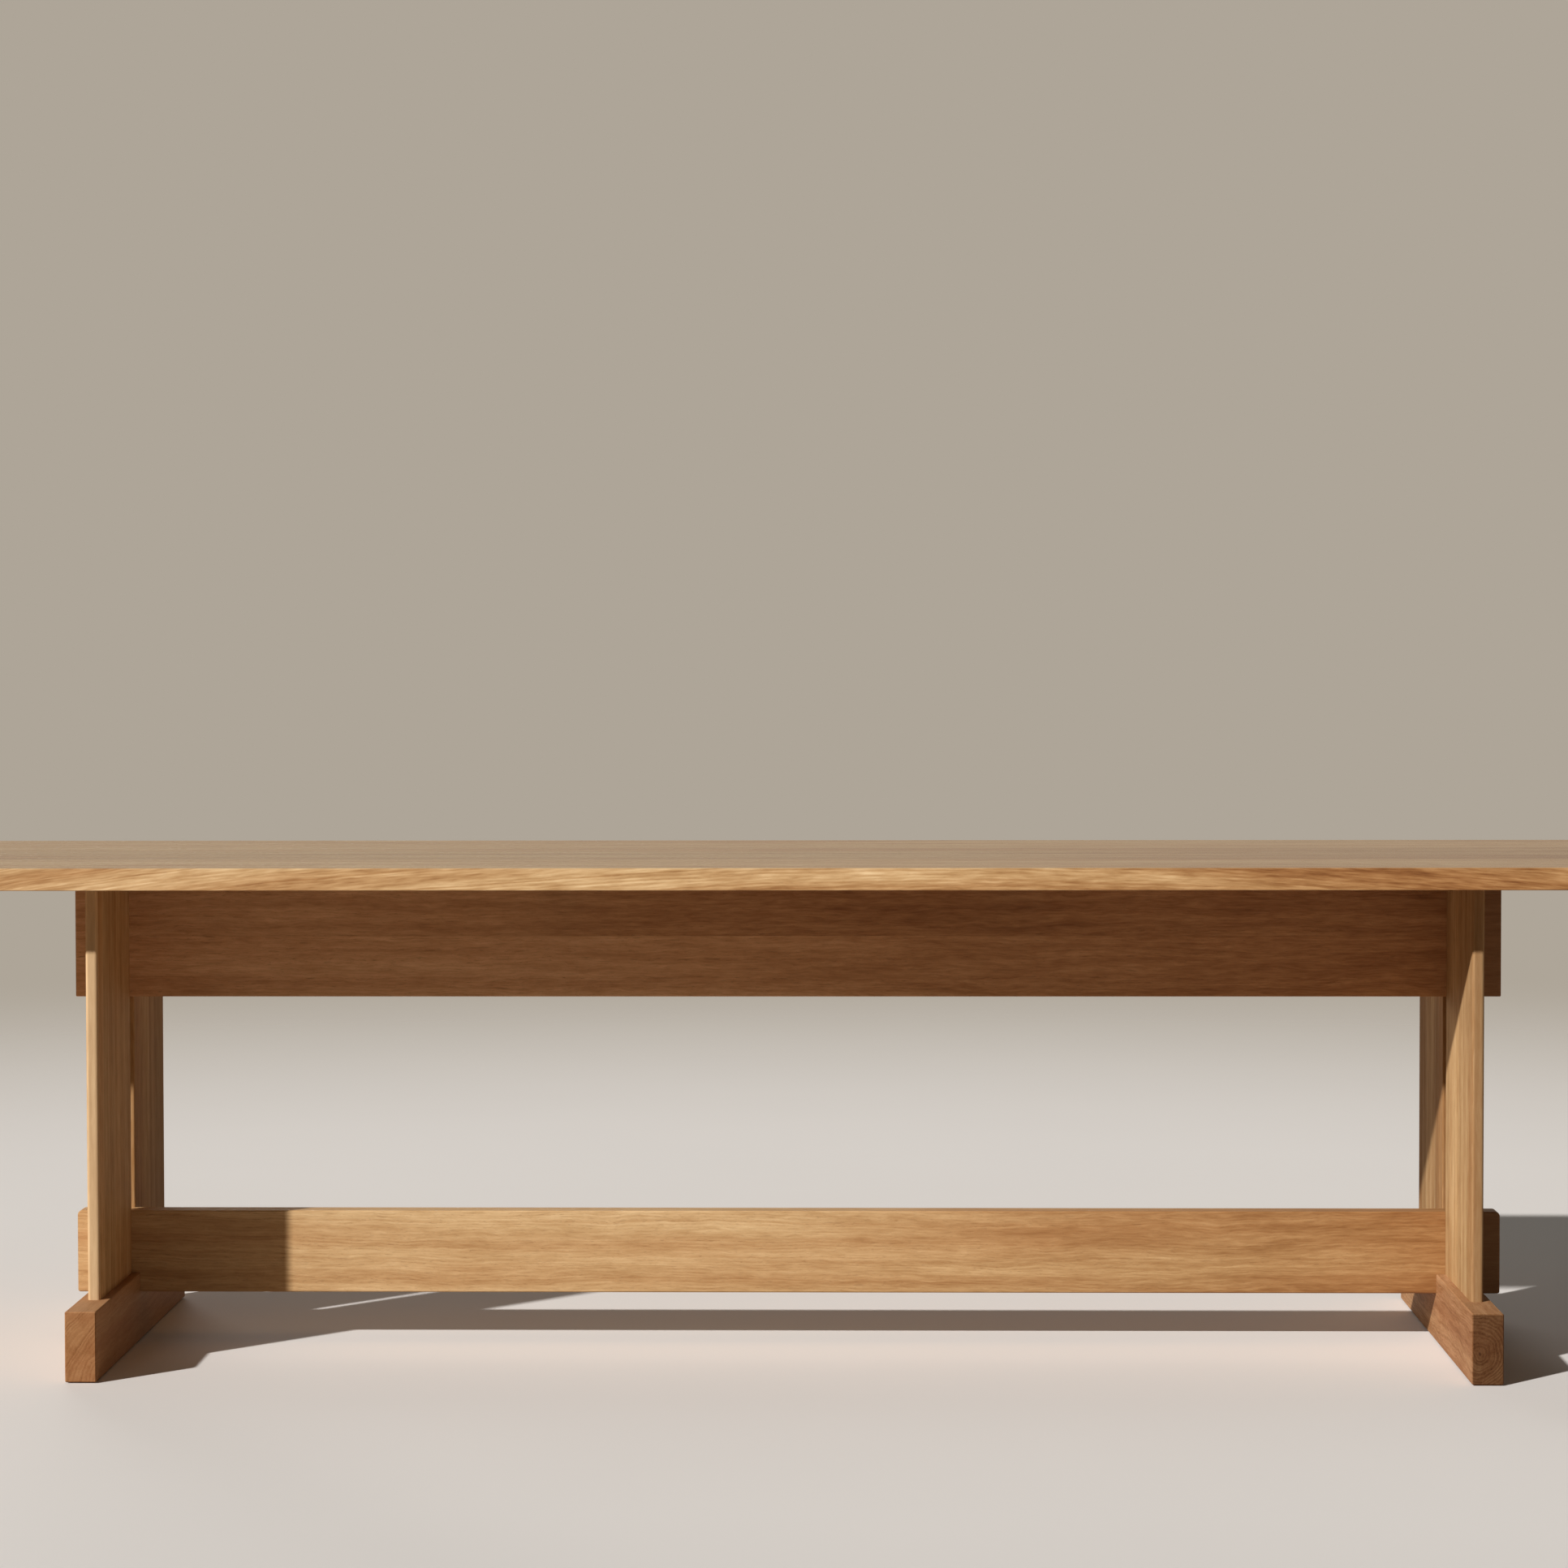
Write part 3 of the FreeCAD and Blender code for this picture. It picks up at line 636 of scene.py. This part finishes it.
@dataclass(frozen=True)
class PlatedMetal:
    """Plated or plain metal, lightly brushed and clouded.

    Attributes:
        colour: Colour of the metal.
        gloss: Roughness of the metal.
        brush: Brush marks per metre round a piece, ten times as many as along it.
        cloud: Clouds in the tone per metre.
    """

    colour: Colour
    gloss: float = 0.34
    brush: float = 2600.0
    cloud: float = 120.0

    def material(self, name: str) -> bpy.types.Material:
        """Material of a metal piece."""
        recipe = material_recipe(name)
        x, y, z = recipe.place()
        round_it, along_it = self.brush, self.brush / 10
        brushed = recipe.noise(recipe.vector(x * round_it, y * round_it, z * along_it))
        cloud = recipe.noise(recipe.vector(x, y, z), scale=self.cloud)
        colour = recipe.tint(self.colour, recipe.grey(1.0 + brushed * 0.18 + cloud * 0.22))
        return recipe.close(Base_Color=colour, Metallic=1.0, Roughness=self.gloss + cloud * 0.2,
                            Normal=recipe.bump(brushed + 0.5, 0.00003, 0.4))


@dataclass(frozen=True)
class Nylon:
    """Dark moulded nylon with a fine grain.

    Attributes:
        colour: Colour of the nylon.
        gloss: Roughness of the nylon.
        grain: Grains of the mould's finish per metre.
    """

    colour: Colour = srgb(58, 46, 38)
    gloss: float = 0.5
    grain: float = 1500.0

    def material(self, name: str) -> bpy.types.Material:
        """Material of a moulded piece."""
        recipe = material_recipe(name)
        grain = recipe.noise(recipe.vector(*recipe.place()), 3.0, 0.6, self.grain)
        colour = recipe.tint(self.colour, recipe.grey(1.0 + grain * 0.3))
        return recipe.close(Base_Color=colour, Roughness=self.gloss + grain * 0.15,
                            Normal=recipe.bump(grain + 0.5, 0.00005, 0.5))


def dress(piece: bpy.types.Object, material: bpy.types.Material) -> None:
    """Give a piece one material.

    Args:
        piece: Piece to dress, either from the frame or made here.
        material: Its finish.
    """
    piece.data.materials.clear()
    piece.data.materials.append(material)
    LOG.info("dressed %s in %s", piece.name, material.name)


# ---- Oak pieces ----------------------------------------------------------------------
@dataclass
class Tabletop:
    """Edge-glued staves of the top.

    Attributes:
        nodes: Objects of the frame by name.
        rubbed: Roughness of the top's upper face, which is rubbed smoother than the rest.
        heart_depth: How far under the top a stave's heart lies, at least and at most.
        heart_aside: How far beside the middle of the stave it lies, at most.
        heart_lean: How steeply it climbs along the stave, at most.
        shades: Least and greatest brightness of a stave, below that of the front edge: partly the
            wood's tone, partly painted shade for the darker reflections that the top shows from
            low down.
        warmths: Least and greatest warmth of a stave.
        fades: Least and greatest fade of a stave, the painted shade towards its far end.
    """

    nodes: dict[str, bpy.types.Object]
    rubbed: float = 0.26
    heart_depth: tuple[float, float] = (0.06, 0.16)
    heart_aside: float = 0.05
    heart_lean: float = 0.02
    shades: tuple[float, float] = (0.74, 0.88)
    warmths: tuple[float, float] = (0.2, 0.45)
    fades: tuple[float, float] = (0.1, 0.2)

    def dress(self) -> None:
        """Give each stave the figure of its own board."""
        luck = random.Random(11)
        oak = Oak(rubbed=self.rubbed)
        names = sorted(name for name in self.nodes if name.startswith("top_stave_"))
        for index, name in enumerate(names):
            low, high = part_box(name)
            middle = (low + high) / 2
            depth = luck.uniform(*self.heart_depth)
            aside = luck.uniform(-self.heart_aside, self.heart_aside)
            lean = luck.uniform(-self.heart_lean, self.heart_lean)
            cut = Cut(grain=Axis.X, heart=(middle.y + aside, middle.z - depth), lean=(0.0, lean),
                      seed=index * 5.3 + 1.0, figure=1.2, shade=luck.uniform(*self.shades),
                      warmth=luck.uniform(*self.warmths), fade=luck.uniform(*self.fades))
            if index == 0:
                cut = self.front_stave(cut)
            dress(self.nodes[name], oak.material(f"oak_{name}", cut))

    @staticmethod
    def front_stave(cut: Cut) -> Cut:
        """The stave whose edge is seen: its grain climbs across the edge."""
        # Painted shade: the fade darkens and reddens the far end of this stave strongly, its edge
        # most.
        return replace(cut, heart=(cut.heart[0] + 0.02, cut.heart[1] - 0.02), lean=(0.0, -0.03),
                       bow=0.05, wander=0.02, sway=0.45, ring=0.0042, shade=1.06, warmth=0.25,
                       figure=1.9, fade=0.42, face=(0.86, 1.2, 0.16))


@dataclass
class Rails:
    """Upper and lower rail.

    Attributes:
        nodes: Objects of the frame by name.
        strip_count: How many strips the upper rail is glued up from.
    """

    nodes: dict[str, bpy.types.Object]
    strip_count: int = 2

    def dress(self) -> None:
        """Give each rail the figure of its own boards."""
        # Both rails get painted shade: the fade darkens their far ends, and the butt past the
        # right trestle darkens them further.
        past_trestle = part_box("right_front_upright")[1].x
        low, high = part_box("upper_rail")
        # Painted light: the upper rail's oak is greyer and brighter than the rest, lifting a rail
        # that sits in the shade of the top.
        brightened_oak = Oak(late=srgb(207, 176, 138), early=srgb(178, 138, 99),
                       red=srgb(186, 141, 103), pored=1.0)
        upper = Cut(grain=Axis.X, heart=(0.09, low.z - 0.1), wander=0.02, seed=62.0,
                    ring=0.0045, shade=1.4, warmth=0.9, figure=1.25, fade=0.3,
                    strip=(high.z - low.z) / self.strip_count, strip_start=low.z,
                    strip_spread=0.04, painted_shade_start=past_trestle)
        dress(self.nodes["upper_rail"], brightened_oak.material("oak_upper_rail", upper))
        low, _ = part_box("lower_rail")
        lower = Cut(grain=Axis.X, heart=(0.06, low.z - 0.05), lean=(0.0, 0.015), wander=0.02,
                    seed=83.0, ring=0.0042, shade=0.99, warmth=0.25, figure=1.05, fade=0.42,
                    painted_shade_start=past_trestle)
        dress(self.nodes["lower_rail"], Oak(pored=1.0).material("oak_lower_rail", lower))


@dataclass
class Trestles:
    """Foot beams and upright boards.

    Attributes:
        nodes: Objects of the frame by name.
        strip_count: How many strips each upright is glued up from.
        tones: Brightness and warmth of each upright.
        painted_edge_tones: Tone of the outer edges, by side: on the left paler sapwood with a
            painted highlight of the lit edge, on the right painted shade of an edge that turns
            from the light.
    """

    nodes: dict[str, bpy.types.Object]
    strip_count: int = 6
    tones: dict[str, tuple[float, float]] = field(default_factory=lambda: {
        "left_front_upright": (1.12, 0.3), "left_rear_upright": (0.84, 0.45),
        "right_front_upright": (0.9, 0.3), "right_rear_upright": (0.68, 0.6)})
    # Painted light and shade on the uprights' outer edges: pale on the left, dark on the right.
    painted_edge_tones: dict[str, Colour] = field(default_factory=lambda: {
        "left": srgb(232, 205, 168), "right": srgb(150, 112, 78)})

    def dress(self) -> None:
        """Give each board of both trestles its own figure."""
        self.dress_uprights(Oak(gloss=0.7, index=1.19))
        self.dress_feet(Oak(late=srgb(182, 139, 98), early=srgb(146, 103, 66),
                            red=srgb(164, 112, 74), pore=srgb(96, 62, 38),
                            gloss=0.6, index=1.22, pored=0.6))

    def dress_uprights(self, oak: Oak) -> None:
        """Give each upright its own board, whose outer edge has another tone, with painted light
        or shade in it.
        """
        names = sorted(name for name in self.nodes if name.endswith("_upright"))
        for index, name in enumerate(names):
            low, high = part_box(name)
            side, row, _ = name.split("_")
            shade, warmth = self.tones[name]
            cut = Cut(grain=Axis.Z, heart=(low.x + 0.15, low.y - 0.25), wander=0.012,
                      seed=index * 9.1 + 120.0, ring=0.005, shade=shade, warmth=warmth,
                      figure=1.3, strip=(high.y - low.y) / self.strip_count, strip_start=low.y,
                      rim=high.y if row == "rear" else low.y, painted_edge_tone=self.painted_edge_tones[side])
            dress(self.nodes[name], oak.material(f"oak_{name}", cut))

    def dress_feet(self, oak: Oak) -> None:
        """Give each foot its own beam. The right one holds the heart of its log."""
        left = Cut(grain=Axis.Y, heart=self.heart("left_foot", 0.16, -0.1), wander=0.004,
                   seed=212.0, ring=0.0052, warmth=0.4, figure=0.7, end_shade=0.84)
        # Painted shade: the right foot's end is made far darker than the left's, partly its own
        # darker end grain, partly shade of light that falls off towards the right.
        right = Cut(grain=Axis.Y, heart=self.heart("right_foot", -0.011, -0.004), wander=0.004,
                    seed=195.0, ring=0.0044, shade=0.94, warmth=0.5, figure=1.5, sway=1.3,
                    end_shade=0.34)
        for name, cut in (("left_foot", left), ("right_foot", right)):
            dress(self.nodes[name], oak.material(f"oak_{name}", cut))

    @staticmethod
    def heart(name: str, aside: float, rise: float) -> tuple[float, float]:
        """Heart of a foot's log, as its distance from the middle of the foot."""
        low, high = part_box(name)
        middle = (low + high) / 2
        return middle.x + aside, middle.z + rise


@dataclass
class Joinery:
    """Slip tenons and buttons, in bare oak.

    Attributes:
        nodes: Objects of the frame by name.
    """

    nodes: dict[str, bpy.types.Object]

    def dress(self) -> None:
        """Give the small oak pieces their figure."""
        oak = Oak(gloss=0.6)
        for index, name in enumerate(("upper_rail_slip_tenons", "lower_rail_slip_tenons")):
            cut = Cut(grain=Axis.Y, heart=(0.0, 0.3), wander=0.004, seed=300.0 + index)
            dress(self.nodes[name], oak.material(f"oak_{name}", cut))
        cut = Cut(grain=Axis.Y, heart=(0.0, 0.55), wander=0.004, seed=310.0, shade=0.96)
        dress(self.nodes["top_buttons"], oak.material("oak_top_buttons", cut))


# ---- Metal and nylon pieces ----------------------------------------------------------
# Points this close together are one, in metres.
WELD = 1e-6


class Head(Enum):
    """Shape of a wood screw's head."""

    PAN = "pan"
    COUNTERSUNK = "countersunk"


@dataclass
class Screws:
    """Wood screws, upright with their heads down, where one node of the frame has them.

    Attributes:
        node: Node that holds the screws' plain solids.
        head: Shape of the heads.
        head_radius: Radius of a head, in metres, as are the sizes below.
        head_height: Height of a pan head.
        head_edge: Height of the straight edge round a countersunk head.
        core_radius: Radius between the threads.
        thread_radius: Radius over the threads.
        pitch: Distance from thread to thread.
        point: Length of the point.
        recess_reach: How far the cross recess reaches from the middle.
        recess_width: Width of an arm of the recess.
        recess_depth: Depth of the recess.
        recess_taper: Size of the recess's bottom against its mouth.
        segments: Sides of the round stretches.
        sharp: Angle in degrees from which an edge stays sharp.
    """

    node: bpy.types.Object
    head: Head
    head_radius: float = 0.004
    head_height: float = 0.0024
    head_edge: float = 0.0003
    core_radius: float = 0.0014
    thread_radius: float = 0.002
    pitch: float = 0.0018
    point: float = 0.004
    recess_reach: float = 0.002
    recess_width: float = 0.0009
    recess_depth: float = 0.0013
    recess_taper: float = 0.7
    segments: int = 24
    sharp: float = 35.0

    @property
    def opening(self) -> float:
        """Radius of the opening that a head has round its recess."""
        return self.recess_reach * 1.15

    def build(self, material: bpy.types.Material, slot: str) -> None:
        """Make the screws and let them stand for the node.

        Args:
            material: Finish of the screws.
            slot: Name of a material slot for the screws; not used.
        """
        name = f"{self.head.value}_head_screws"
        shape = bmesh.new()
        for low, high in self.solids():
            self.add_screw(shape, low, high)
        bmesh.ops.recalc_face_normals(shape, faces=shape.faces)
        mesh = bpy.data.meshes.new(name)
        points, faces = self.ordered(shape)
        mesh.from_pydata(points, [], faces)
        shape.free()
        mesh.shade_smooth()
        mesh.set_sharp_from_angle(angle=math.radians(self.sharp))
        screws = bpy.data.objects.new(name, mesh)
        bpy.context.scene.collection.objects.link(screws)
        dress(screws, material)
        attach(screws, BODY)
        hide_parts(self.node.name)

    @staticmethod
    def ordered(shape: bmesh.types.BMesh) -> tuple[list[tuple[float, ...]], list[list[int]]]:
        """Points and faces of a shape in one fixed order, because spinning leaves them in none.

        Args:
            shape: The finished shape.

        Returns:
            The points, and the faces as numbers of their points.
        """
        points = sorted(shape.verts, key=lambda vertex: tuple(vertex.co))
        number = {vertex: index for index, vertex in enumerate(points)}
        faces = []
        for face in shape.faces:
            loop = [number[vertex] for vertex in face.verts]
            start = loop.index(min(loop))
            faces.append(loop[start:] + loop[:start])
        return [tuple(vertex.co) for vertex in points], sorted(faces)

    def solids(self) -> list[tuple[Vector, Vector]]:
        """Lowest and highest corner of each separate solid in the node."""
        shape = bmesh.new()
        shape.from_mesh(self.node.data)
        bmesh.ops.remove_doubles(shape, verts=shape.verts, dist=WELD)
        left = set(shape.verts)
        boxes = []
        while left:
            island = [left.pop()]
            for vertex in island:
                near = {edge.other_vert(vertex) for edge in vertex.link_edges} & left
                left -= near
                island.extend(near)
            low = Vector(min(vertex.co[axis] for vertex in island) for axis in range(3))
            high = Vector(max(vertex.co[axis] for vertex in island) for axis in range(3))
            boxes.append((low, high))
        shape.free()
        return sorted(boxes, key=lambda box: tuple(box[0]))

    def profile(self, length: float) -> list[tuple[float, float]]:
        """Radius and height of the turned outline, from the recess over the head to the tip.

        Args:
            length: Whole length of the screw.

        Returns:
            The outline's points.
        """
        wide = self.head_radius
        if self.head is Head.PAN:
            neck = self.head_height
            points = [(wide * 0.8, neck * 0.14), (wide, neck * 0.55), (wide, neck)]
        else:
            neck = wide - self.core_radius
            points = [(wide, 0.0), (wide, self.head_edge)]
        points = [(self.opening, 0.0), *points, (self.core_radius, neck)]
        turns = int((length - self.point - neck) / self.pitch)
        for turn in range(turns):
            start = neck + turn * self.pitch
            points += [(self.core_radius, start + self.pitch * 0.5),
                       (self.thread_radius, start + self.pitch * 0.75),
                       (self.core_radius, start + self.pitch)]
        return points + [(0.0, length)]

    def add_screw(self, shape: bmesh.types.BMesh, low: Vector, high: Vector) -> None:
        """Add one screw between the corners of its plain solid.

        Args:
            shape: Mesh under construction.
            low: Lowest corner of the solid.
            high: Highest corner of the solid.
        """
        centre = (low + high) / 2
        base = Vector((centre.x, centre.y, low.z))
        outline = [shape.verts.new(base + Vector((radius, 0.0, height)))
                   for radius, height in self.profile(high.z - low.z)]
        edges = [shape.edges.new(pair) for pair in zip(outline, outline[1:])]
        bmesh.ops.spin(shape, geom=outline + edges, axis=(0.0, 0.0, 1.0), cent=base,
                       angle=math.tau, steps=self.segments, use_merge=True)
        tip = [vertex for vertex in shape.verts if (vertex.co - base).xy.length < WELD]
        bmesh.ops.remove_doubles(shape, verts=tip, dist=WELD)
        ring = [edge for edge in shape.edges if edge.is_boundary and all(
            abs((vertex.co - base).length - self.opening) < WELD for vertex in edge.verts)]
        self.add_recess(shape, base, ring)

    def add_recess(self, shape: bmesh.types.BMesh, base: Vector,
                   ring: list[bmesh.types.BMEdge]) -> None:
        """Close the middle of a head with a cross recess.

        Args:
            shape: Mesh under construction.
            base: Middle of the head's face.
            ring: Edges round the opening in the head.
        """
        arm = self.recess_width / 2
        corner_points = [Vector((arm, arm, 0.0)), Vector((self.recess_reach, arm, 0.0)),
                         Vector((self.recess_reach, -arm, 0.0))]
        corners = []
        for quarter in range(4):
            turn = Matrix.Rotation(-quarter * math.pi / 2, 3, "Z")
            corners += [shape.verts.new(base + turn @ point) for point in corner_points]
        mouth = [shape.edges.new(pair) for pair in zip(corners, corners[1:] + corners[:1])]
        bmesh.ops.bridge_loops(shape, edges=ring + mouth)
        walls = bmesh.ops.extrude_edge_only(shape, edges=mouth)["geom"]
        bottom = [item for item in walls if isinstance(item, bmesh.types.BMVert)]
        sink = Vector((0.0, 0.0, self.recess_depth))
        for vertex in bottom:
            vertex.co = base + (vertex.co - base) * self.recess_taper + sink
        rim = [edge for edge in walls if isinstance(edge, bmesh.types.BMEdge)
               and all(vertex in bottom for vertex in edge.verts)]
        bmesh.ops.holes_fill(shape, edges=rim, sides=len(corners))


@dataclass
class Fittings:
    """Channels, bolts, washers, inserts, screws and glides.

    Attributes:
        nodes: Objects of the frame by name.
    """

    nodes: dict[str, bpy.types.Object]

    def build(self) -> None:
        """Dress the metal and nylon pieces and make the screws."""
        black = PowderCoat().material("black_steel")
        zinc = PlatedMetal(srgb(196, 198, 196)).material("zinc_steel")
        brass = PlatedMetal(srgb(205, 168, 98), gloss=0.3).material("brass")
        nylon = Nylon().material("glide_nylon")
        for name in sorted(self.nodes):
            if name.startswith("stiffener_channel_"):
                dress(self.nodes[name], black)
        for name in ("foot_bolts", "foot_washers"):
            dress(self.nodes[name], zinc)
        dress(self.nodes["rail_inserts"], brass)
        dress(self.nodes["floor_glides"], nylon)
        Screws(self.nodes["button_screws"], Head.COUNTERSUNK).build(zinc, "zinc_steel")
        Screws(self.nodes["channel_screws"], Head.PAN).build(zinc, "zinc_steel")


# ---- Studio --------------------------------------------------------------------------
@dataclass(frozen=True)
class Lamp:
    """A far lamp that shines on the whole table.

    Attributes:
        way: Direction from the table to the lamp.
        strength: Strength of the light.
        colour: Colour of the light.
        spread: Angle that the light comes from, in degrees. A wide one gives soft shadows.
        distance: How far from the table it hangs. The light is the same at any distance.
    """

    way: tuple[float, float, float]
    strength: float
    colour: Colour
    spread: float
    distance: float = 5.0

    def hang(self, name: str) -> bpy.types.Object:
        """Hang the lamp where the camera doesn't see it, facing the middle of the table.

        Args:
            name: Name of the lamp.

        Returns:
            The lamp's object.
        """
        light = bpy.data.lights.new(name, "SUN")
        light.angle = math.radians(self.spread)
        light.energy = self.strength
        light.color = self.colour
        way = Vector(self.way)
        lamp = bpy.data.objects.new(name, light)
        lamp.location = way * self.distance
        lamp.rotation_euler = way.to_track_quat("Z", "Y").to_euler()
        lamp.visible_camera = False
        bpy.context.scene.collection.objects.link(lamp)
        return lamp


@dataclass
class Studio:
    """Pale floor that fades into a plain backdrop, soft lamps and the camera.

    Attributes:
        floor_colour: Colour of the floor.
        bounce: Colour that the floor throws back at the table.
        backdrop: Colour behind the floor.
        floor_radius: Where the floor has faded out, in metres.
        floor_clear: Where it starts to fade, as a share of that.
        floor_cloud: Clouds in the floor's tone per metre.
        key: Main light, from the front left.
        back: Weak broad light, low down from behind.
        fill: Brightness of the light from all round.
        fill_colour: Colour of the light from all round.
        camera_place: Place of the camera.
        camera_turn: How far the camera is turned to the left, in radians, as are the next two.
        camera_dip: How far it looks down.
        camera_roll: How far it is rolled.
        sensor: Width of its sensor, in millimetres.
        lens: Its focal length, in millimetres.
    """

    floor_colour: Colour = srgb(236, 232, 229)
    bounce: Colour = srgb(172, 152, 131)
    backdrop: Colour = srgb(174, 165, 152)
    floor_radius: float = 7.0
    floor_clear: float = 0.3
    floor_cloud: float = 1.4
    key: Lamp = Lamp((-0.596, -0.630, 0.498), 4.0, (1.0, 0.975, 0.94), 1.6)
    back: Lamp = Lamp((-0.25, 0.95, 0.17), 1.4, (1.0, 0.98, 0.96), 25.0)
    fill: float = 0.08
    fill_colour: Colour = (1.0, 0.94, 0.8)
    camera_place: tuple[float, float, float] = (0.1139, -6.1156, 1.0617)
    camera_turn: float = 0.0191
    camera_dip: float = 0.0354
    camera_roll: float = -0.0016
    sensor: float = 36.0
    lens: float = 92.78

    def build(self) -> None:
        """Make the floor, the lamps, the world and the camera."""
        self.make_floor()
        self.key.hang("key_light")
        self.back.hang("back_light").visible_glossy = False
        self.make_world()
        self.make_camera()
        bpy.context.scene.view_settings.view_transform = "Standard"

    def make_floor(self) -> None:
        """Round floor whose rim fades into the backdrop, and which is clear from below."""
        shape = bmesh.new()
        bmesh.ops.create_circle(shape, cap_ends=True, segments=96, radius=self.floor_radius * 1.05)
        mesh = bpy.data.meshes.new("studio_floor")
        shape.to_mesh(mesh)
        shape.free()
        floor = bpy.data.objects.new("studio_floor", mesh)
        bpy.context.scene.collection.objects.link(floor)
        dress(floor, self.floor_material())

    def floor_material(self) -> bpy.types.Material:
        """Material of the floor: what it shows, what it throws back and where it is clear."""
        recipe = material_recipe("studio_floor")
        x, y, _ = recipe.place()
        cloud = recipe.noise(recipe.vector(x, y, 0.0), 3.0, 0.5, self.floor_cloud)
        colour = recipe.tint(self.floor_colour, recipe.grey(1.0 + cloud * 0.03))
        thrown_back = recipe.node("ShaderNodeLightPath", output="Is Diffuse Ray")
        colour = recipe.blend(thrown_back, colour, self.bounce)
        surface = recipe.node("ShaderNodeBsdfDiffuse", inputs={"Color": colour})
        clear = recipe.node("ShaderNodeBsdfTransparent")
        reach = (x * x + y * y).root()
        faded = reach.rise(self.floor_radius * self.floor_clear, self.floor_radius)
        below = recipe.node("ShaderNodeNewGeometry", output="Backfacing")
        surface = recipe.node("ShaderNodeMixShader", inputs={
            0: recipe.math("MAXIMUM", faded, below), 1: surface, 2: clear})
        recipe.node("ShaderNodeOutputMaterial", inputs={"Surface": surface})
        return recipe.owner

    def make_world(self) -> None:
        """Backdrop for the eye and for reflections, and an even fill for everything else."""
        recipe = Recipe(bpy.data.worlds.new("studio"))
        seen: Value = 0.0
        for ray in ("Is Camera Ray", "Is Glossy Ray", "Is Transmission Ray"):
            seen = recipe.math("MAXIMUM", seen, recipe.node("ShaderNodeLightPath", output=ray))
        fill = recipe.node("ShaderNodeBackground", inputs={
            "Color": self.fill_colour, "Strength": self.fill})
        backdrop = recipe.node("ShaderNodeBackground", inputs={"Color": self.backdrop})
        light = recipe.node("ShaderNodeMixShader", inputs={0: seen, 1: fill, 2: backdrop})
        recipe.node("ShaderNodeOutputWorld", inputs={"Surface": light})
        bpy.context.scene.world = recipe.owner

    def make_camera(self) -> None:
        """Camera in front of the table, a little above the top, looking slightly down."""
        data = bpy.data.cameras.new("camera")
        data.sensor_width = self.sensor
        data.lens = self.lens
        camera = bpy.data.objects.new("camera", data)
        camera.matrix_world = (
            Matrix.Translation(self.camera_place)
            @ Matrix.Rotation(self.camera_turn, 4, "Z")
            @ Matrix.Rotation(math.pi / 2 - self.camera_dip, 4, "X")
            @ Matrix.Rotation(self.camera_roll, 4, "Z"))
        bpy.context.scene.collection.objects.link(camera)
        bpy.context.scene.camera = camera


def main() -> None:
    """Load the frame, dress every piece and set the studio."""
    logging.basicConfig(level=logging.INFO, format="%(message)s")
    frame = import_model()
    nodes = frame["nodes"]
    Tabletop(nodes).dress()
    Rails(nodes).dress()
    Trestles(nodes).dress()
    Joinery(nodes).dress()
    Fittings(nodes).build()
    Studio().build()


if __name__ == "__main__":
    main()
